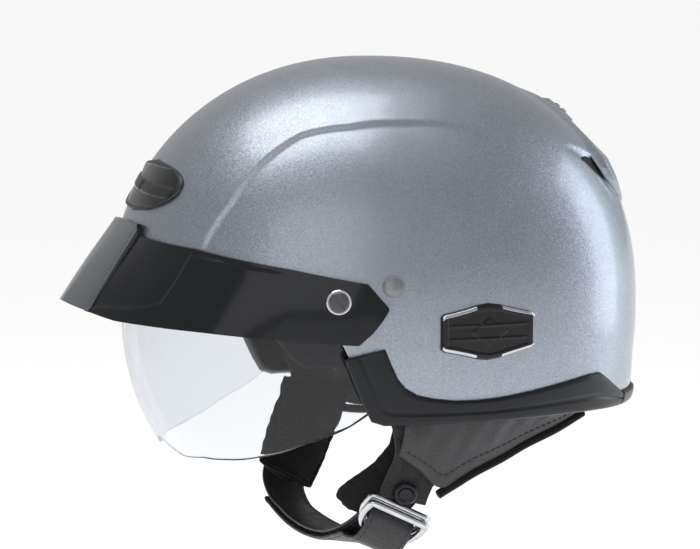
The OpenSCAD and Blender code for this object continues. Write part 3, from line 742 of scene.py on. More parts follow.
# ---- rear fairing ----
FAIR_WIDE = [(50, 30), (54, 40), (60, 48), (66, 51), (72, 51.5), (76, 50.5), (80, 48),
             (84, 45), (92, 39), (100, 34), (106, 30), (111.5, 24), (114.5, 12)]
FAIR_HIGH = [(50, 0), (56, 0.8), (66, 2.2), (76, 3), (82, 1.6), (90, 0.8), (116, 0.5)]


def make_fairing():
    zs = np.concatenate([np.linspace(50, 62, 14), np.linspace(63, 86, 34),
                         np.linspace(87, 114.5, 26)])
    us = np.linspace(-1, 1, 81)
    z, u = np.meshgrid(zs, us, indexing="ij")
    wide = lookup(z, FAIR_WIDE)
    x = -u * wide
    ramp = mix(1.4, 8.0, smooth(z, 77, 88))
    edge = smooth((wide - np.abs(x)) / ramp, 0, 1)
    ends = smooth(z, 50, 57) * (1 - smooth(z, 108, 114.5))
    high = (0.9 + lookup(z, FAIR_HIGH)) * edge * ends
    slot_in = (1 - smooth(np.abs(x), 10.4, 11.6)) * smooth(z, 84, 85.4) * (1 - smooth(z, 108, 112))
    high = np.where(slot_in > 0, mix(high, 0.6, slot_in), high)
    rib = np.exp(-((np.abs(x) - wide * 0.62) / 2.2) ** 2)
    high = high - 0.8 * rib * smooth(z, 54, 60) * (1 - smooth(z, 84, 100))
    plate("rear_spoiler", rear_point(x, z, high), rear_point(x, z, -0.8), M["paint"],
          nodes=("rear_fairing",), slot="shell_paint")


make_fairing()


# ---- edge trims ----
TRIM_EDGE = [(74.5, -16, -0.36, -0.2), (76.5, -28, -0.36, -0.3), (78.5, -40, -0.34, -0.4),
             (79.8, -46.5, -0.25, -0.7), (82, -48, 0, -1), (87, -48, 0, -1), (92, -48, 0, -1),
             (98, -48, 0, -1), (104, -48, 0, -1), (110, -47.8, 0, -1), (116, -47.7, 0, -1),
             (122, -47.6, 0, -1), (128, -47.5, 0, -1), (134, -47.4, 0, -1), (140, -47.4, 0, -1),
             (146, -47.3, 0, -1)]
TRIM_TOP = [(82, -12), (83.2, -19.5), (84.6, -27), (86.2, -32), (88.4, -35.6), (91.2, -38),
            (95, -39.4), (99.5, -39.6), (105, -38.8), (111, -37), (117, -35), (123, -33),
            (129, -31.2), (133, -30.8), (140, -38), (146, -43.4)]
TRIM_WALL = 2.2


def channel_sections(edge, tops, wall, inside, count, groove=0.0):
    """Closed sections of a strip that grips the rim; the outer leg reaches up to tops."""
    e = np.array([np.interp(np.linspace(0, 1, count), np.linspace(0, 1, len(edge)), col)
                  for col in np.array(edge, float).T]).T
    top = np.array([np.interp(np.linspace(0, 1, count), np.linspace(0, 1, len(tops)), col)
                    for col in np.array(tops, float).T]).T

    def rim(off, k):
        return raised(off, e[:, 0] + e[:, 2] * k, e[:, 1] + e[:, 3] * k)

    def leg(off, v):
        return raised(off, mix(e[:, 0], top[:, 0], v), mix(e[:, 1], top[:, 1], v))

    lo, li, out = -WALL - GAP, -WALL - GAP - wall, GAP + wall
    rows = [rim(lo, -inside), rim(lo - wall * 0.5, -inside - 0.5), rim(li, -inside),
            rim(li, 0.0), rim(li, out * 0.6), rim(li + 0.7, out * 0.95),
            rim(-WALL / 2, out), rim(GAP, out * 1.02), rim(out - 0.8, out * 0.98),
            rim(out - 0.1, out * 0.6), rim(out, 0.2)]
    for v in np.linspace(0.06, 0.9, 16):
        dip = groove * math.exp(-((v - 0.30) / 0.05) ** 2)
        rows.append(leg(out - dip - 0.5 * v ** 3, v))
    rows += [leg(out - 0.75, 0.95), leg(out - 1.3, 0.985), leg(GAP + 0.3, 1.0), leg(GAP, 0.96)]
    rows += [leg(GAP, v) for v in (0.7, 0.4, 0.1)]
    rows += [rim(GAP, GAP), rim(-WALL / 2, GAP), rim(lo, GAP)]
    return np.stack(rows, 1)


def make_trims():
    sec = channel_sections(TRIM_EDGE, TRIM_TOP, TRIM_WALL, 3, 220, groove=1.1)
    obj = sweep("edge_trim_left", sec[:, ::-1], M["trim"], nodes=("side_trim_left",),
                slot="trim_plastic")
    mirrored(obj, "edge_trim_right", ("side_trim_right",))
    ang = np.linspace(146.6, 213.4, 60)
    back = [(t, -47.2, 0, -1) for t in ang]
    sec = channel_sections(back, [(t, -43.2) for t in ang], TRIM_WALL, 3, 90)
    sweep("edge_trim_rear", sec[:, ::-1], M["trim"], nodes=("rear_trim",), slot="trim_plastic")
    ang = np.linspace(-56, 56, 80)
    brow = [(t, rim_height(t), 0, -0.9) for t in ang]
    sec = channel_sections(brow, [(t, rim_height(t) + 3) for t in ang], 0.9, 3, 160)
    sweep("brow_edge", sec[:, ::-1], M["rubber"], nodes=("brow_beading",), slot="edge_rubber")


make_trims()


# ---- peak ----
PEAK_HIGH = [(0, 47), (11.4, 46), (12.4, 40.5), (36, 36.6), (62, 28), (76.6, 21.6),
             (78.5, 20.8), (81.2, 13), (82.6, 9)]
PEAK_LOW = [(0, 5.6), (10, 3.4), (20, -0.4), (42, -3.4), (64, -7.6), (76.6, -9.6),
            (79.4, -3.6), (81.2, 2), (82.6, 7.4)]
PEAK_OUT = [(0, 28), (10, 25), (20, 20), (30, 15.5), (42, 11), (54, 6.6), (62, 4.6),
            (76, 4.2), (82.6, 3.4), (90, 3.4)]
# Where the raised lower field of the peak begins, as a fraction down its face
RIDGE = [(0, 1.4), (12.6, 0.93), (17, 0.86), (26, 0.79), (31, 0.70), (33.5, 0.40), (36, 0.0),
         (37.5, -0.4), (90, -0.4)]


def peak_surface(t, f, off):
    a = np.abs(t)
    reach = lookup(a, PEAK_OUT)
    band = 1.2 * (1 - smooth(a, 11.6, 12.4)) * (1 - f * 0.4)
    ridge = lookup(a, RIDGE)
    field = 0.9 * smooth(f - ridge, -0.03, 0.03) * (1 - smooth(a, 50, 78)) * smooth(f, 0.02, 0.12)
    crown = 0.5 * np.sin(np.pi * np.clip(f, 0, 1)) * (1 - smooth(a, 60, 80))
    d = mix(GAP + PEAK_WALL, reach, np.clip(f, 0, 1) ** 1.2) + band + off
    d = np.where(off > -1, d + field * 0.9 + crown * 0.6 - 0.9 * 0.5 * (1 - smooth(a, 60, 80)), d)
    return on_shell(d, t, mix(lookup(a, PEAK_HIGH), lookup(a, PEAK_LOW), f))


def make_peak():
    side = np.concatenate([np.linspace(0, 11.4, 20), np.linspace(11.6, 12.6, 8),
                           np.linspace(13, 38, 80), np.linspace(38.6, 76, 70),
                           np.linspace(76.4, 82.6, 24)])
    t = np.concatenate([-side[:0:-1], side])
    f = np.linspace(1, 0, 90)
    tt, ff = np.meshgrid(t, f)
    obj = plate("peak_visor", peak_surface(tt, ff, 0.0), peak_surface(tt, ff, -PEAK_WALL),
                M["peak"], 0.5, 3, nodes=("peak",), slot="peak_gloss")
    # The centre strip gets the band material: painted reflection on the black peak.
    obj.data.materials.append(M["band"])
    nu = len(t)
    inside = np.abs(t) < 11.9
    for poly in obj.data.polygons[:(nu - 1) * (len(f) - 1)]:
        if all(inside[v % nu] for v in poly.vertices):
            poly.material_index = 1


make_peak()


# ---- screws, rivets, stud ----
def coin_slot(obj, matrix, wide, deep, half):
    """Cuts a straight slot across a screw head."""
    bm = bmesh.new()
    bmesh.ops.create_cube(bm, size=1.0)
    bmesh.ops.scale(bm, vec=(wide * 0.001, half * 0.002, deep * 0.002), verts=bm.verts)
    mesh = bpy.data.meshes.new("slot_cutter")
    bm.to_mesh(mesh)
    bm.free()
    cutter = bpy.data.objects.new("slot_cutter", mesh)
    bpy.context.scene.collection.objects.link(cutter)
    cutter.matrix_world = matrix
    bpy.context.view_layer.update()
    mod = obj.modifiers.new("slot", "BOOLEAN")
    mod.operation = "DIFFERENCE"
    mod.object = cutter
    mod.solver = "EXACT"
    graph = bpy.context.evaluated_depsgraph_get()
    done = bpy.data.meshes.new_from_object(obj.evaluated_get(graph))
    obj.modifiers.clear()
    obj.data = done
    bpy.data.objects.remove(cutter)


def make_screws():
    at = shell_frame(*SCREW_AT)
    turn = at @ Matrix.Rotation(math.radians(38), 4, "Z")
    head = lathe("peak_screw_left_head", [(2.4, -4.8), (2.4, 3.9), (4.7, 4.3), (4.9, 4.5),
                 (4.9, 5.4), (4.5, 5.9), (3.4, 6.2), (0.6, 6.3)], M["screw"], at,
                 nodes=("peak_screw_left",))
    coin_slot(head, turn @ Matrix.Translation((0, 0, 0.0063)), 1.5, 0.9, 6.0)
    ring = lathe("peak_ring_left", [(5.05, 3.7), (6.1, 3.7), (6.3, 4.0), (6.2, 4.6), (5.8, 5.0),
                 (5.3, 5.0), (5.05, 4.6)], M["chrome"], at, nodes=("peak_washer_left",))
    mirrored(head, "peak_screw_right_head", ("peak_screw_right",))
    mirrored(ring, "peak_ring_right", ("peak_washer_right",))
    at = shell_frame(*RIVET_AT)
    dome_line = [(2.4, -5.4), (2.4, 0.3), (5.3, 0.3), (5.5, 0.6), (5.5, 1.0), (5.1, 1.25),
                 (4.85, 1.15), (4.6, 1.3), (3.6, 1.85), (2.2, 2.25), (0.6, 2.4)]
    rivet = lathe("strap_rivet_left_head", dome_line, M["rivet"], at,
                  nodes=("strap_rivet_left",))
    mirrored(rivet, "strap_rivet_right_head", ("strap_rivet_right",))
    lathe("rear_stud_head", [(6.0, 0.3), (6.2, 0.6), (6.0, 1.5), (5.0, 2.5), (3.6, 2.9), (3.2, 2.5),
          (0.5, 2.5)], M["vent"], shell_frame(180, -13), nodes=("rear_stud",))


make_screws()


# ---- plaque and badge ----
PLAQUE_HALF = [(5.9, 8), (8, 9.6), (14, 10.8), (20, 12.2), (25.2, 13.6), (31.5, 14.4),
               (37.8, 13.6), (43, 12.2), (49, 10.8), (54.6, 9.6), (57, 8)]
PLAQUE_Z = -4.8


def make_plaque():
    """Six-sided plate: dark face, a raised frame and two ribs, with bright bevelled ends."""
    y, v = np.meshgrid(np.linspace(6.2, 56.7, 150), np.linspace(-1, 1, 90))
    half = lookup(y, PLAQUE_HALF)
    edge = np.minimum((1 - np.abs(v)) * half, np.minimum(y - 5.9, 57 - y) * 0.9)
    z = PLAQUE_Z + v * half
    step = smooth(edge, 0.1, 1.3)
    well = smooth(edge, 2.9, 3.6)
    rib = np.exp(-((np.abs(v * half) - 3.4) / 0.7) ** 4) * smooth(np.abs(y - 31.5), 22, 18) * well
    centre = (1 - smooth(np.abs(y - 31.5) / 10.5 + np.abs(v * half) / 7.5, 0.9, 1.0)) * 0.5
    height = 0.5 + 1.9 * step - 0.7 * well + 0.45 * rib + centre
    t = side_angle(y, np.full_like(y, -4.0))
    obj = plate("side_plate_left", on_shell(height, t, z), on_shell(0.3, t, z), M["plaque"],
                nodes=("side_plaque_left",), slot="plaque_gloss")
    mirrored(obj, "side_plate_right", ("side_plaque_right",))
    for name, y0, y1, sign in (("top_front", 6.6, 24.6, 1), ("low_front", 6.6, 24.6, -1),
                               ("top_back", 38.4, 56.4, 1), ("low_back", 38.4, 56.4, -1)):
        ys, k = np.meshgrid(np.linspace(y0, y1, 40), np.linspace(0, 1, 7))
        half = lookup(ys, PLAQUE_HALF)
        zs = PLAQUE_Z + sign * (half - 0.35 - 1.7 * k)
        arch = 1.75 + 0.95 * np.sqrt(np.clip(k * 1.15, 0, 1))
        t = side_angle(ys, np.full_like(ys, -4.0))
        a, b = on_shell(arch + 0.1, t, zs), on_shell(arch - 0.6, t, zs)
        if sign < 0:
            a, b = a[:, ::-1], b[:, ::-1]
        strip = plate("plate_bevel_%s_left" % name, a, b, M["bright"], 0.12,
                      slot="plaque_gloss")
        mirrored(strip, "plate_bevel_%s_right" % name, ())


make_plaque()


def make_badge():
    """Plain oval badge: brushed frame round a dark field with a generic split bar."""
    u, v = np.meshgrid(np.linspace(-1, 1, 120), np.linspace(-1, 1, 50))
    half = 44 * (1 - (np.abs(v) * 0.96) ** 2.2) ** 0.4545
    x = u * half
    z = 64.5 + v * 13 * (1 - 0.1 * np.abs(u))
    edge = np.minimum((1 - np.abs(u)) * half, (1 - np.abs(v)) * 13)
    frame_up = smooth(edge, 0.05, 0.9)
    field = smooth(edge, 2.2, 2.9)
    bar = field * (1 - smooth(np.abs(z - 64.5 + 0.06 * x), 2.2, 3.0)) * smooth(edge, 4.5, 5.2)
    split = smooth(np.abs(x), 0.8, 1.6)
    high = 0.35 + 1.25 * frame_up - 0.65 * field + 0.6 * bar * split
    t = front_angle(x, z)
    obj = plate("front_emblem", on_shell(high, t, z), on_shell(0.3, t, z), M["badge"],
                nodes=("front_badge",), slot="badge_metal")
    obj.data.materials.append(M["plaque"])
    inner = (field > 0.6).ravel() & ((bar * split) < 0.5).ravel()
    for poly in obj.data.polygons[:119 * 49]:
        if all(inner[k] for k in poly.vertices):
            poly.material_index = 1


make_badge()

# ---- carried-over CAD nodes ----
for name, mat, width in (("eps_liner", "foam", 0), ("peak_clip", "peak", 0.3),
                         ("peak_nut_left", "plate", 0.2), ("peak_nut_right", "plate", 0.2),
                         ("strap_hanger_left", "plate", 0.2), ("strap_hanger_right", "plate", 0.2),
                         ("slider_button", "paint", 0.35), ("shield_hub_left", "vent", 0.3),
                         ("shield_hub_right", "vent", 0.3), ("pivot_plate_left", "plate", 0.3),
                         ("pivot_plate_right", "plate", 0.3), ("pivot_cap_left", "screw", 0.4),
                         ("pivot_cap_right", "screw", 0.4)):
    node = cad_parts[name]
    node.data.materials.clear()
    node.data.materials.append(M[mat])
    if width:
        bevel(node, width, 2, 35)


# ---- shield ----
SHIELD_LOW = [(0, -29.5), (12, -31.5), (26, -34), (45, -34.8), (60, -37.4), (75, -41),
              (88, -46), (93, -50), (98.5, -58), (101.5, -66), (104, -76)]


def shield_surface(x, a, inset):
    k = (SHIELD_X - inset) / SHIELD_X
    r = (SHIELD_R - inset) * (1 - (np.abs(x) / SHIELD_X) ** SHIELD_N) ** (1 / SHIELD_N)
    a = np.radians(a)
    return np.stack([x * k, PIVOT_Y - r * np.cos(a), PIVOT_Z + r * np.sin(a)], -1)


def make_shield():
    side = (SHIELD_X - 0.2) * np.sin(np.linspace(0, math.pi / 2, 70))
    x = np.concatenate([-side[:0:-1], side])
    low = np.mean([lookup(np.abs(x) + s, SHIELD_LOW) for s in (-1.2, -0.4, 0.4, 1.2)], 0)
    v = np.linspace(0, 1, 70)[:, None]
    a = mix(low[None], 14.0, v)
    xx = np.broadcast_to(x[None], a.shape)
    plate("shield_lens", shield_surface(xx, a, 0.0), shield_surface(xx, a, SHIELD_WALL),
          M["shield"], 0.55, 3, body="shield_body", nodes=("shield",), slot="shield_clear")


make_shield()

# ---- straps ----
CHIN = [(-107.2, -15, 12, 0), (-107.8, -13, 0, 0), (-107.4, -11, -14, 0), (-105.4, -7, -27, 0),
        (-102.6, -3, -37, 0), (-95.6, -1.4, -47, 4), (-92, -1.6, -56, 12), (-88.6, -6, -68, 22),
        (-83, -12.6, -82, 24), (-74.6, -20.4, -95, 24), (-66, -25.6, -105, 22),
        (-53, -25.6, -113.4, 18), (-38, -23, -117.8, 13), (-22, -20.8, -120.2, 8),
        (0, -18.6, -121, 6), (22, -16.6, -119.6, 8), (40, -15, -116.4, 14),
        (51, -13.2, -113.4, 20), (57.4, -11.3, -110.4, 24), (62.6, -9.4, -106.9, 25.5),
        (67, -7.6, -103.3, 25.5), (71.2, -6.5, -101.4, 25.5), (75.4, -6.7, -101.8, 25.5),
        (78.2, -7.9, -104.3, 25.5), (78.6, -9.8, -108.3, 25.5), (76.2, -12.4, -113.7, 25.5),
        (71, -14.7, -118.3, 25.5), (60, -15.8, -119.2, 24), (52, -15.8, -118, 20),
        (41, -16.4, -119.8, 14), (22.6, -17.6, -123, 8), (0, -19.6, -124.4, 6),
        (-22.4, -21.8, -123.6, 8), (-39, -24, -121.2, 13), (-53, -26.4, -117, 18),
        (-58.6, -27.4, -113.8, 20)]
BUCKLE = [(107.2, -17, 12, 0), (107.8, -15, 0, 0), (107.4, -12, -14, 0), (105.4, -7.4, -27, 0),
          (102.6, -3, -37, 0), (95.6, -1.4, -47, 4), (92.6, 1.2, -56, 12), (90, 3.2, -66, 18),
          (87.2, 2.6, -75, 23), (84.6, -0.2, -83, 25), (82.8, -2.2, -89, 25.5),
          (81.8, -3.3, -93.4, 25.5)]
STRAP_W, STRAP_T = 25.0, 2.0


def edge_line(sections, frac, side, lift=0.16):
    """Line along a strap's face, at a fraction of its half width; side is +1 or -1."""
    centre = sections.mean(1)
    wide = sections[:, 0] - sections[:, sections.shape[1] // 2]
    quarter = sections.shape[1] // 4
    face = sections[:, quarter] - centre if side > 0 else sections[:, 3 * quarter] - centre
    size = np.linalg.norm(face, axis=1)[:, None]
    return centre + wide * frac / 2 + face * (size + lift) / size


def make_straps():
    for name, path, mat, node, count in (("chin_band", CHIN, "strap", "chin_strap", 420),
                                         ("buckle_band", BUCKLE, "webbing", "buckle_strap", 150)):
        sec = strap_sections([(*p, STRAP_W) for p in path], STRAP_T * 0.96, 7.0, 40, 0, count)
        sweep(name, sec, M[mat], nodes=(node,), slot="webbing")
        for k, frac in enumerate((-0.82, 0.82)):
            for side in (-1, 1):
                line = edge_line(sec, frac, side, 0.0)
                stitches("%s_seam_%d%s" % (name, k, "ab"[side > 0]), line, M["thread"],
                         slot="webbing")


make_straps()

RING_CENTRE, RING_BAR = np.array([0, -7, -101.5]), np.array([81.4, 0.4, 5.1])
RING_TILT, RING_ROLL, RING_HALF, WIRE, RING_STEP = 44.0, 25.5, 16.0, 1.9, 5.0


def make_ring(name, out, body, node):
    """D-ring: a straight bar and a half round, as one closed wire."""
    tilt, roll = math.radians(RING_TILT), math.radians(RING_ROLL)
    line = [(0.0, y) for y in np.linspace(-RING_HALF + 1.2, RING_HALF - 1.2, 14)]
    line += [(0.4, RING_HALF - 0.2), (1.3, RING_HALF), (4.0, RING_HALF)]
    line += [(6 + RING_HALF * math.sin(a), RING_HALF * math.cos(a))
             for a in np.linspace(0, math.pi, 40)]
    line += [(4.0, -RING_HALF), (1.3, -RING_HALF), (0.4, -RING_HALF + 0.2)]
    pts = []
    for d, y in line:
        p = RING_BAR + np.array([out * math.cos(tilt) - d * math.sin(tilt), y,
                                 -out * math.sin(tilt) - d * math.cos(tilt)])
        turned = np.array([p[0], p[1] * math.cos(roll) + p[2] * math.sin(roll),
                           -p[1] * math.sin(roll) + p[2] * math.cos(roll)])
        pts.append(RING_CENTRE + turned)
    tube(name, pts, WIRE * 0.98, M["chrome"], 20, closed=True, body=body, nodes=(node,),
         slot="ring_steel")


make_ring("ring_wire_inner", 0.0, "ring_inner", "d_ring_inner")
make_ring("ring_wire_outer", RING_STEP, "ring_outer", "d_ring_outer")


# ---- padded pieces ----
PUFF_FRAMES, PUFF_STIFFNESS = 20, 12


def inflate(obj, pressure, cap_mm, voxel_mm):
    """Cloth simulation under pressure, held to a cap, applied and smoothed."""
    remesh = obj.modifiers.new("remesh", "REMESH")
    remesh.mode = "VOXEL"
    remesh.voxel_size = voxel_mm * 0.001
    graph = bpy.context.evaluated_depsgraph_get()
    mesh = bpy.data.meshes.new_from_object(obj.evaluated_get(graph))
    obj.modifiers.clear()
    obj.data = mesh
    before = np.array([v.co[:] for v in mesh.vertices])
    mod = obj.modifiers.new("puff", "CLOTH")
    mod.settings.use_pressure = True
    mod.settings.uniform_pressure_force = pressure
    mod.settings.tension_stiffness = PUFF_STIFFNESS
    mod.settings.compression_stiffness = PUFF_STIFFNESS
    mod.settings.effector_weights.gravity = 0
    scene = bpy.context.scene
    for f in range(1, PUFF_FRAMES + 1):
        scene.frame_set(f)
        bpy.context.view_layer.update()
    graph = bpy.context.evaluated_depsgraph_get()
    done = bpy.data.meshes.new_from_object(obj.evaluated_get(graph))
    obj.modifiers.clear()
    after = np.array([v.co[:] for v in done.vertices])
    move = after - before
    far = np.linalg.norm(move, axis=1, keepdims=True)
    move *= np.minimum(1, cap_mm * 0.001 / np.maximum(far, 1e-9))
    for v, p in zip(done.vertices, before + move):
        v.co = p
    obj.data = done
    scene.frame_set(1)
    sub = obj.modifiers.new("round", "SUBSURF")
    sub.levels = sub.render_levels = 2
    obj.data.shade_smooth()


PAD_LEFT = [(88.2, 5, -50, 4, 32), (86.4, 6, -58, 14, 33), (83.4, 5, -68, 21, 34),
            (78.4, 0.6, -79, 24, 36), (71.4, -6, -87.4, 25, 37), (64, -12, -93.6, 25, 37),
            (57, -16.6, -99.4, 24, 34), (51.4, -19, -103.6, 22, 28)]
PAD_RIGHT = [(-88.6, 0, -50, 4, 38), (-85.2, -2.6, -58, 14, 40), (-80.8, -8, -70, 21, 40),
             (-74, -16, -84.6, 24, 39), (-64.9, -23, -96.4, 24, 36), (-57, -27.4, -103.2, 24, 31)]
PAD_T = 6.0


def on_mesh(obj, line):
    """A line's points moved to the nearest place on a piece, then evened out."""
    tree = BVHTree.FromObject(obj, bpy.context.evaluated_depsgraph_get())
    near = np.array([tree.find_nearest(Vector(to_m(p)))[0][:] for p in line])
    near = near * 1000 + np.array([0, 0, SEAT])
    for _ in range(3):
        near[1:-1] = (near[:-2] + 2 * near[1:-1] + near[2:]) / 4
    return near


def make_strap_pads():
    for name, path, node in (("cheek_band_left", PAD_LEFT, "strap_pad_left"),
                             ("cheek_band_right", PAD_RIGHT, "strap_pad_right")):
        count = 60
        sec = strap_sections(path, PAD_T * 0.72, 3.2, 48, 0.18, count)
        end = np.minimum(np.linspace(0, 1, count), np.linspace(1, 0, count))
        centre = sec.mean(1, keepdims=True)
        pull = np.sqrt(np.clip(end / 0.06, 0.05, 1))[:, None, None]
        sec = centre + (sec - centre) * pull
        obj = sweep(name, sec, M["pad"], nodes=(node,), slot="pad_cloth")
        inflate(obj, 3.0, 1.0, 3.0)
        wide = strap_sections(path, PAD_T * 0.84, 3.2, 48, 0.1, count)
        keep = slice(4, count - 4)
        ring = []
        for frac in (-0.93, 0.93):
            centre = wide.mean(1)
            across = (wide[:, 0] - wide[:, 24]) / 2
            ring.append((centre + across * frac)[keep])
        loop = np.vstack([ring[0], ring[1][::-1]])
        edge = on_mesh(obj, resample(loop, 150))
        tube(name + "_binding", resample(edge, 150), 1.15, M["piping"], 10, slot="pad_cloth")


make_strap_pads()


def quilted(name, grid_t, low, top, quilts, mat, node, pad_out=1.0, seam=1.4, rows=1):
    """Wall pad against the liner with sewn channels between crowned fields."""
    nv, nu = 44, len(grid_t)
    t = np.broadcast_to(grid_t[None], (nv, nu))
    v = np.linspace(0, 1, nv)[:, None]
    z = mix(low(np.abs(grid_t))[None], top, v)
    u = np.linspace(0, 1, nu)[None]
    field = np.abs(np.sin(np.pi * u * quilts)) ** 0.5 * np.abs(np.sin(np.pi * v * rows)) ** 0.5
    edge = (np.clip(u / 0.05, 0, 1) * np.clip((1 - u) / 0.05, 0, 1)
            * np.clip(v / 0.08, 0, 1) * np.clip((1 - v) / 0.08, 0, 1)) ** 0.5
    thick = PAD * (0.35 + 0.6 * edge) - seam * (1 - field) * edge
    back = pad_face(pad_out + 0.15, t, z)
    face = pad_face(pad_out + 0.15 + thick, t, z)
    obj = plate(name, back, face, M[mat], 0.5, 2, nodes=(node,), slot="lining_cloth")
    return obj


def pad_face(off, t, z):
    """Point at a varying depth off the liner's inner face."""
    off, t, z = np.broadcast_arrays(np.asarray(off, float), t, z)
    return dome_at([v - off for v in LINER], t, z)


BROW_LOW = [(0, 20), (40, 17), (60, 9)]
SIDE_LOW = [(62, 8), (66, 4), (70, -1), (74, -9), (76, -20), (78, -31), (80, -38), (84, -44),
            (130, -44)]


def make_lining():
    quilted("brow_cushion", np.linspace(-59.6, 59.6, 120), lambda a: lookup(a, BROW_LOW), 36.0,
            5, "lining", "brow_pad")
    obj = quilted("side_cushion_left", np.linspace(62.4, 129.6, 110),
                  lambda a: lookup(a, SIDE_LOW), 36.0, 2, "lining", "side_pad_left")
    twin = mirrored(obj, "side_cushion_right", ("side_pad_right",))
    quilted("nape_cushion", np.linspace(132.4, 227.6, 110), lambda a: np.full_like(a, -46.0),
            36.0, 4, "lining", "nape_pad")
    t = np.linspace(-180, 180, 160, endpoint=False)
    rows = []
    for side in (1, 0):
        for f in np.linspace(0.02, 1, 40) if side else np.linspace(1, 0.02, 40):
            ax = [v - 1.15 for v in LINER]
            phi = mix(90, phi_at(ax, t, 38.2), f)
            fall = np.clip((1 - f) / 0.1, 0, 1) ** 0.5
            spoke = np.abs(np.sin(np.radians(t) * 2)) ** 0.4
            ring = abs(math.sin(math.pi * f * 2.0)) ** 0.4
            thick = PAD * (0.35 + 0.6 * fall) - 1.3 * (1 - spoke * ring) * fall
            off = 1.15 + (0 if side else 1) * thick
            pts = np.array([dome([v - o for v in LINER], a, p) for o, a, p in
                            zip(np.broadcast_to(off, t.shape), t, phi)])
            rows.append(pts)
    cap = bowl("crown_cushion", np.array(rows), M["lining"], nodes=("crown_pad",),
               slot="lining_cloth")


make_lining()

# ---- neck panels ----
PANEL_TOP = [(98.2, -6, -49.6), (98.4, 8, -49.6), (98.2, 20, -47), (96.7, 33, -45), (93.2, 50, -45),
             (87.6, 70, -45), (79.9, 88, -45), (70.2, 102.6, -45)]
PANEL_LOW = [(94, -8, -69), (92.4, 3, -77), (90.6, 13.6, -86), (88.8, 23, -81.5),
             (87.2, 34, -76), (84.4, 49, -70), (80.8, 64, -63.4), (76, 82, -57), (69.4, 99, -50)]
PANEL_DRAWN = [(96.4, -8, -60), (95.4, 3, -63), (93.6, 13.6, -65), (90.8, 23, -66), (88, 34, -66),
               (84.8, 49, -65.4), (80.8, 64, -62), (76, 82, -56.4), (69.4, 99, -50)]


def make_neck_panel(side, lower, sign):
    """Soft leather skirt with gathers, a sewn hem and a round piping along its lower edge."""
    top, low = resample(PANEL_TOP, 160), resample(lower, 160)
    v = np.linspace(0, 1, 44)[:, None, None]
    base = low[None] + (top - low)[None] * v
    s, vv = np.linspace(0, 1, 160)[None], v[..., 0]
    bulge = 1.4 * np.sin(np.pi * vv)
    fold = (0.9 * np.sin(2 * np.pi * (s * 2.7 + 0.30 * vv)) * np.sin(np.pi * vv)
            + 0.4 * np.sin(2 * np.pi * (s * 7.3 - 0.8 * vv + 0.2)) * np.sin(np.pi * vv) ** 2
            + 0.25 * np.sin(2 * np.pi * (s * 15 + 0.3 * vv)) * smooth(vv, 0.6, 1.0))
    hem = 0.35 * (1 - smooth(vv, 0.12, 0.16))
    drop = np.array([0, 0, -1.5]) * (1 - smooth(vv, 0, 0.2))[..., None]
    base = base + drop * smooth(s, 0.2, 0.3)[..., None]
    shift = (bulge + fold * 0.8 + hem)[..., None] * np.array([0.95, 0.3, 0])
    face = (base + shift + np.array([0.4, 0.3, 0])) * np.array([sign, 1, 1])
    back = (base + shift - np.array([1.1, 0.9, 0])) * np.array([sign, 1, 1])
    order = slice(None, None, -1 if sign > 0 else 1)
    obj = plate("neck_skirt_" + side, face[:, order], back[:, order], M["leather"], 0.4,
                nodes=("nape_panel_" + side,), slot="panel_leather")
    stitches("neck_skirt_seam_" + side, face[7] + np.array([0.12 * sign, 0.05, 0]), M["thread"],
             slot="panel_leather")
    edge = (resample(lower[2:], 100) + np.array([-0.6, -0.4, -4.0])) * np.array([sign, 1, 1])
    cord = tube("neck_piping_" + side, edge, 2.35, M["piping"], 18,
                nodes=("nape_piping_" + side,), slot="piping_cloth")


make_neck_panel("left", PANEL_LOW, 1)
make_neck_panel("right", PANEL_DRAWN, -1)


# ---- snaps ----
def make_snaps():
    at = (Matrix.Translation(to_m((82.9, -2.1, -88.7)))
          @ Matrix.Rotation(math.radians(-12.3), 4, "Z")
          @ Matrix.Rotation(math.radians(111.5), 4, "Y"))
    lathe("strap_snap_ring", [(0.4, 2.2), (6.4, 2.2), (6.5, 2.6), (6.1, 3.6), (5.4, 4.15),
          (4.4, 4.0), (3.8, 3.4), (3.5, 3.3), (3.3, 3.7), (2.6, 3.9), (0.4, 3.9)], M["snap"], at,
          nodes=("strap_snap",))
    at = (Matrix.Translation(to_m((-47, -25.4, -119.2)))
          @ Matrix.Rotation(math.radians(-17), 4, "X") @ Matrix.Rotation(math.radians(196), 4, "Y"))
    lathe("tail_snap_cap", [(0.5, 1.6), (5.8, 1.6), (6.0, 2.2), (5.6, 3.4), (4.4, 4.0),
          (0.5, 4.2)], M["snap"], at, nodes=("tail_snap",))


make_snaps()

# ---- camera, light, floor ----
CAM_BACK = Vector((0.9544, -0.2827, 0.0958))
CAM_RIGHT = Vector((0.284, 0.959, 0.0))
CAM_UP = Vector((-0.0919, 0.0272, 0.9954))
CAM_DISTANCE, LENS = 1.8, 174.7
TARGET = Vector((0, 0, -SEAT * 0.001)) - CAM_RIGHT * 0.0066 + CAM_UP * 0.0143
FLOOR_DROP, FLOOR_HALF, FLOOR_GLOW = 0.22, 90, 0.55
WORLD_GLOW = 0.45


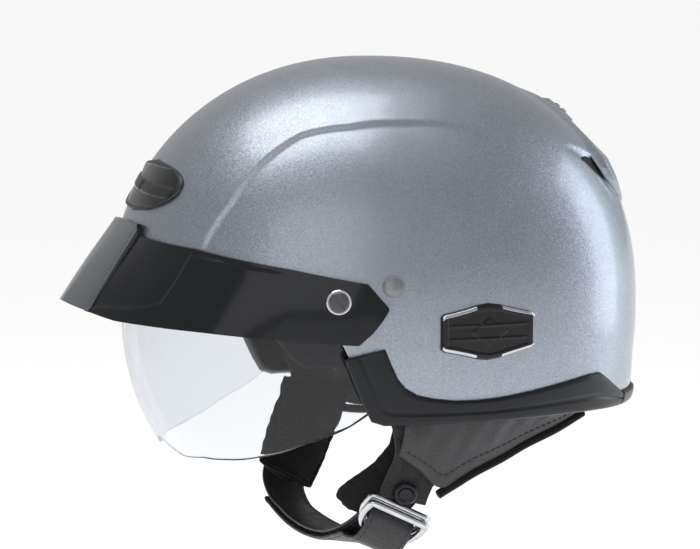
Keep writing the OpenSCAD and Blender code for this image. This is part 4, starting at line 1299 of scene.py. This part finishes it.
def softbox(name, place, target, size, power, color=(1, 1, 1)):
    light = bpy.data.lights.new(name, "AREA")
    light.shape = "RECTANGLE"
    light.size, light.size_y = size
    light.energy = power
    light.color = color
    obj = bpy.data.objects.new(name, light)
    bpy.context.scene.collection.objects.link(obj)
    obj.location = place
    aim = Vector(target) - Vector(place)
    obj.rotation_euler = aim.to_track_quat("-Z", "Y").to_euler()


def make_stage():
    cam = bpy.data.cameras.new("camera")
    cam.lens = LENS
    cam.sensor_width = 36.0
    cam.clip_end = 50
    obj = bpy.data.objects.new("camera", cam)
    bpy.context.scene.collection.objects.link(obj)
    obj.location = TARGET + CAM_BACK * CAM_DISTANCE
    obj.rotation_euler = CAM_BACK.to_track_quat("Z", "Y").to_euler()
    bpy.context.scene.camera = obj

    floor_z = cad_lo[2] - FLOOR_DROP
    mesh = bpy.data.meshes.new("floor")
    mesh.from_pydata([(x * FLOOR_HALF, y * FLOOR_HALF, floor_z)
                      for x, y in ((-1, -1), (1, -1), (1, 1), (-1, 1))], [], [(0, 1, 2, 3)])
    floor = bpy.data.objects.new("floor", mesh)
    bpy.context.scene.collection.objects.link(floor)
    pale = material("floor_white", (0.86, 0.86, 0.86), 0.9, spec=0.0)
    surface(pale).inputs["Emission Color"].default_value = (1, 1, 1, 1)
    surface(pale).inputs["Emission Strength"].default_value = FLOOR_GLOW
    mesh.materials.append(pale)

    world = bpy.data.worlds.new("studio")
    world.use_nodes = True
    sky = world.node_tree.nodes["Background"]
    sky.inputs["Color"].default_value = (1, 1, 1, 1)
    sky.inputs["Strength"].default_value = WORLD_GLOW
    bpy.context.scene.world = world
    bpy.context.scene.view_settings.view_transform = "Standard"
    centre = (0, 0, -0.08)
    softbox("key", (-0.1, -0.3, 1.45), centre, (1.1, 1.2), 13)
    softbox("fill", (1.9, -0.9, 0.8), centre, (1.8, 1.6), 7)
    softbox("rear", (-0.1, 1.6, 0.25), centre, (0.6, 1.2), 7, (0.84, 0.91, 1.0))


make_stage()
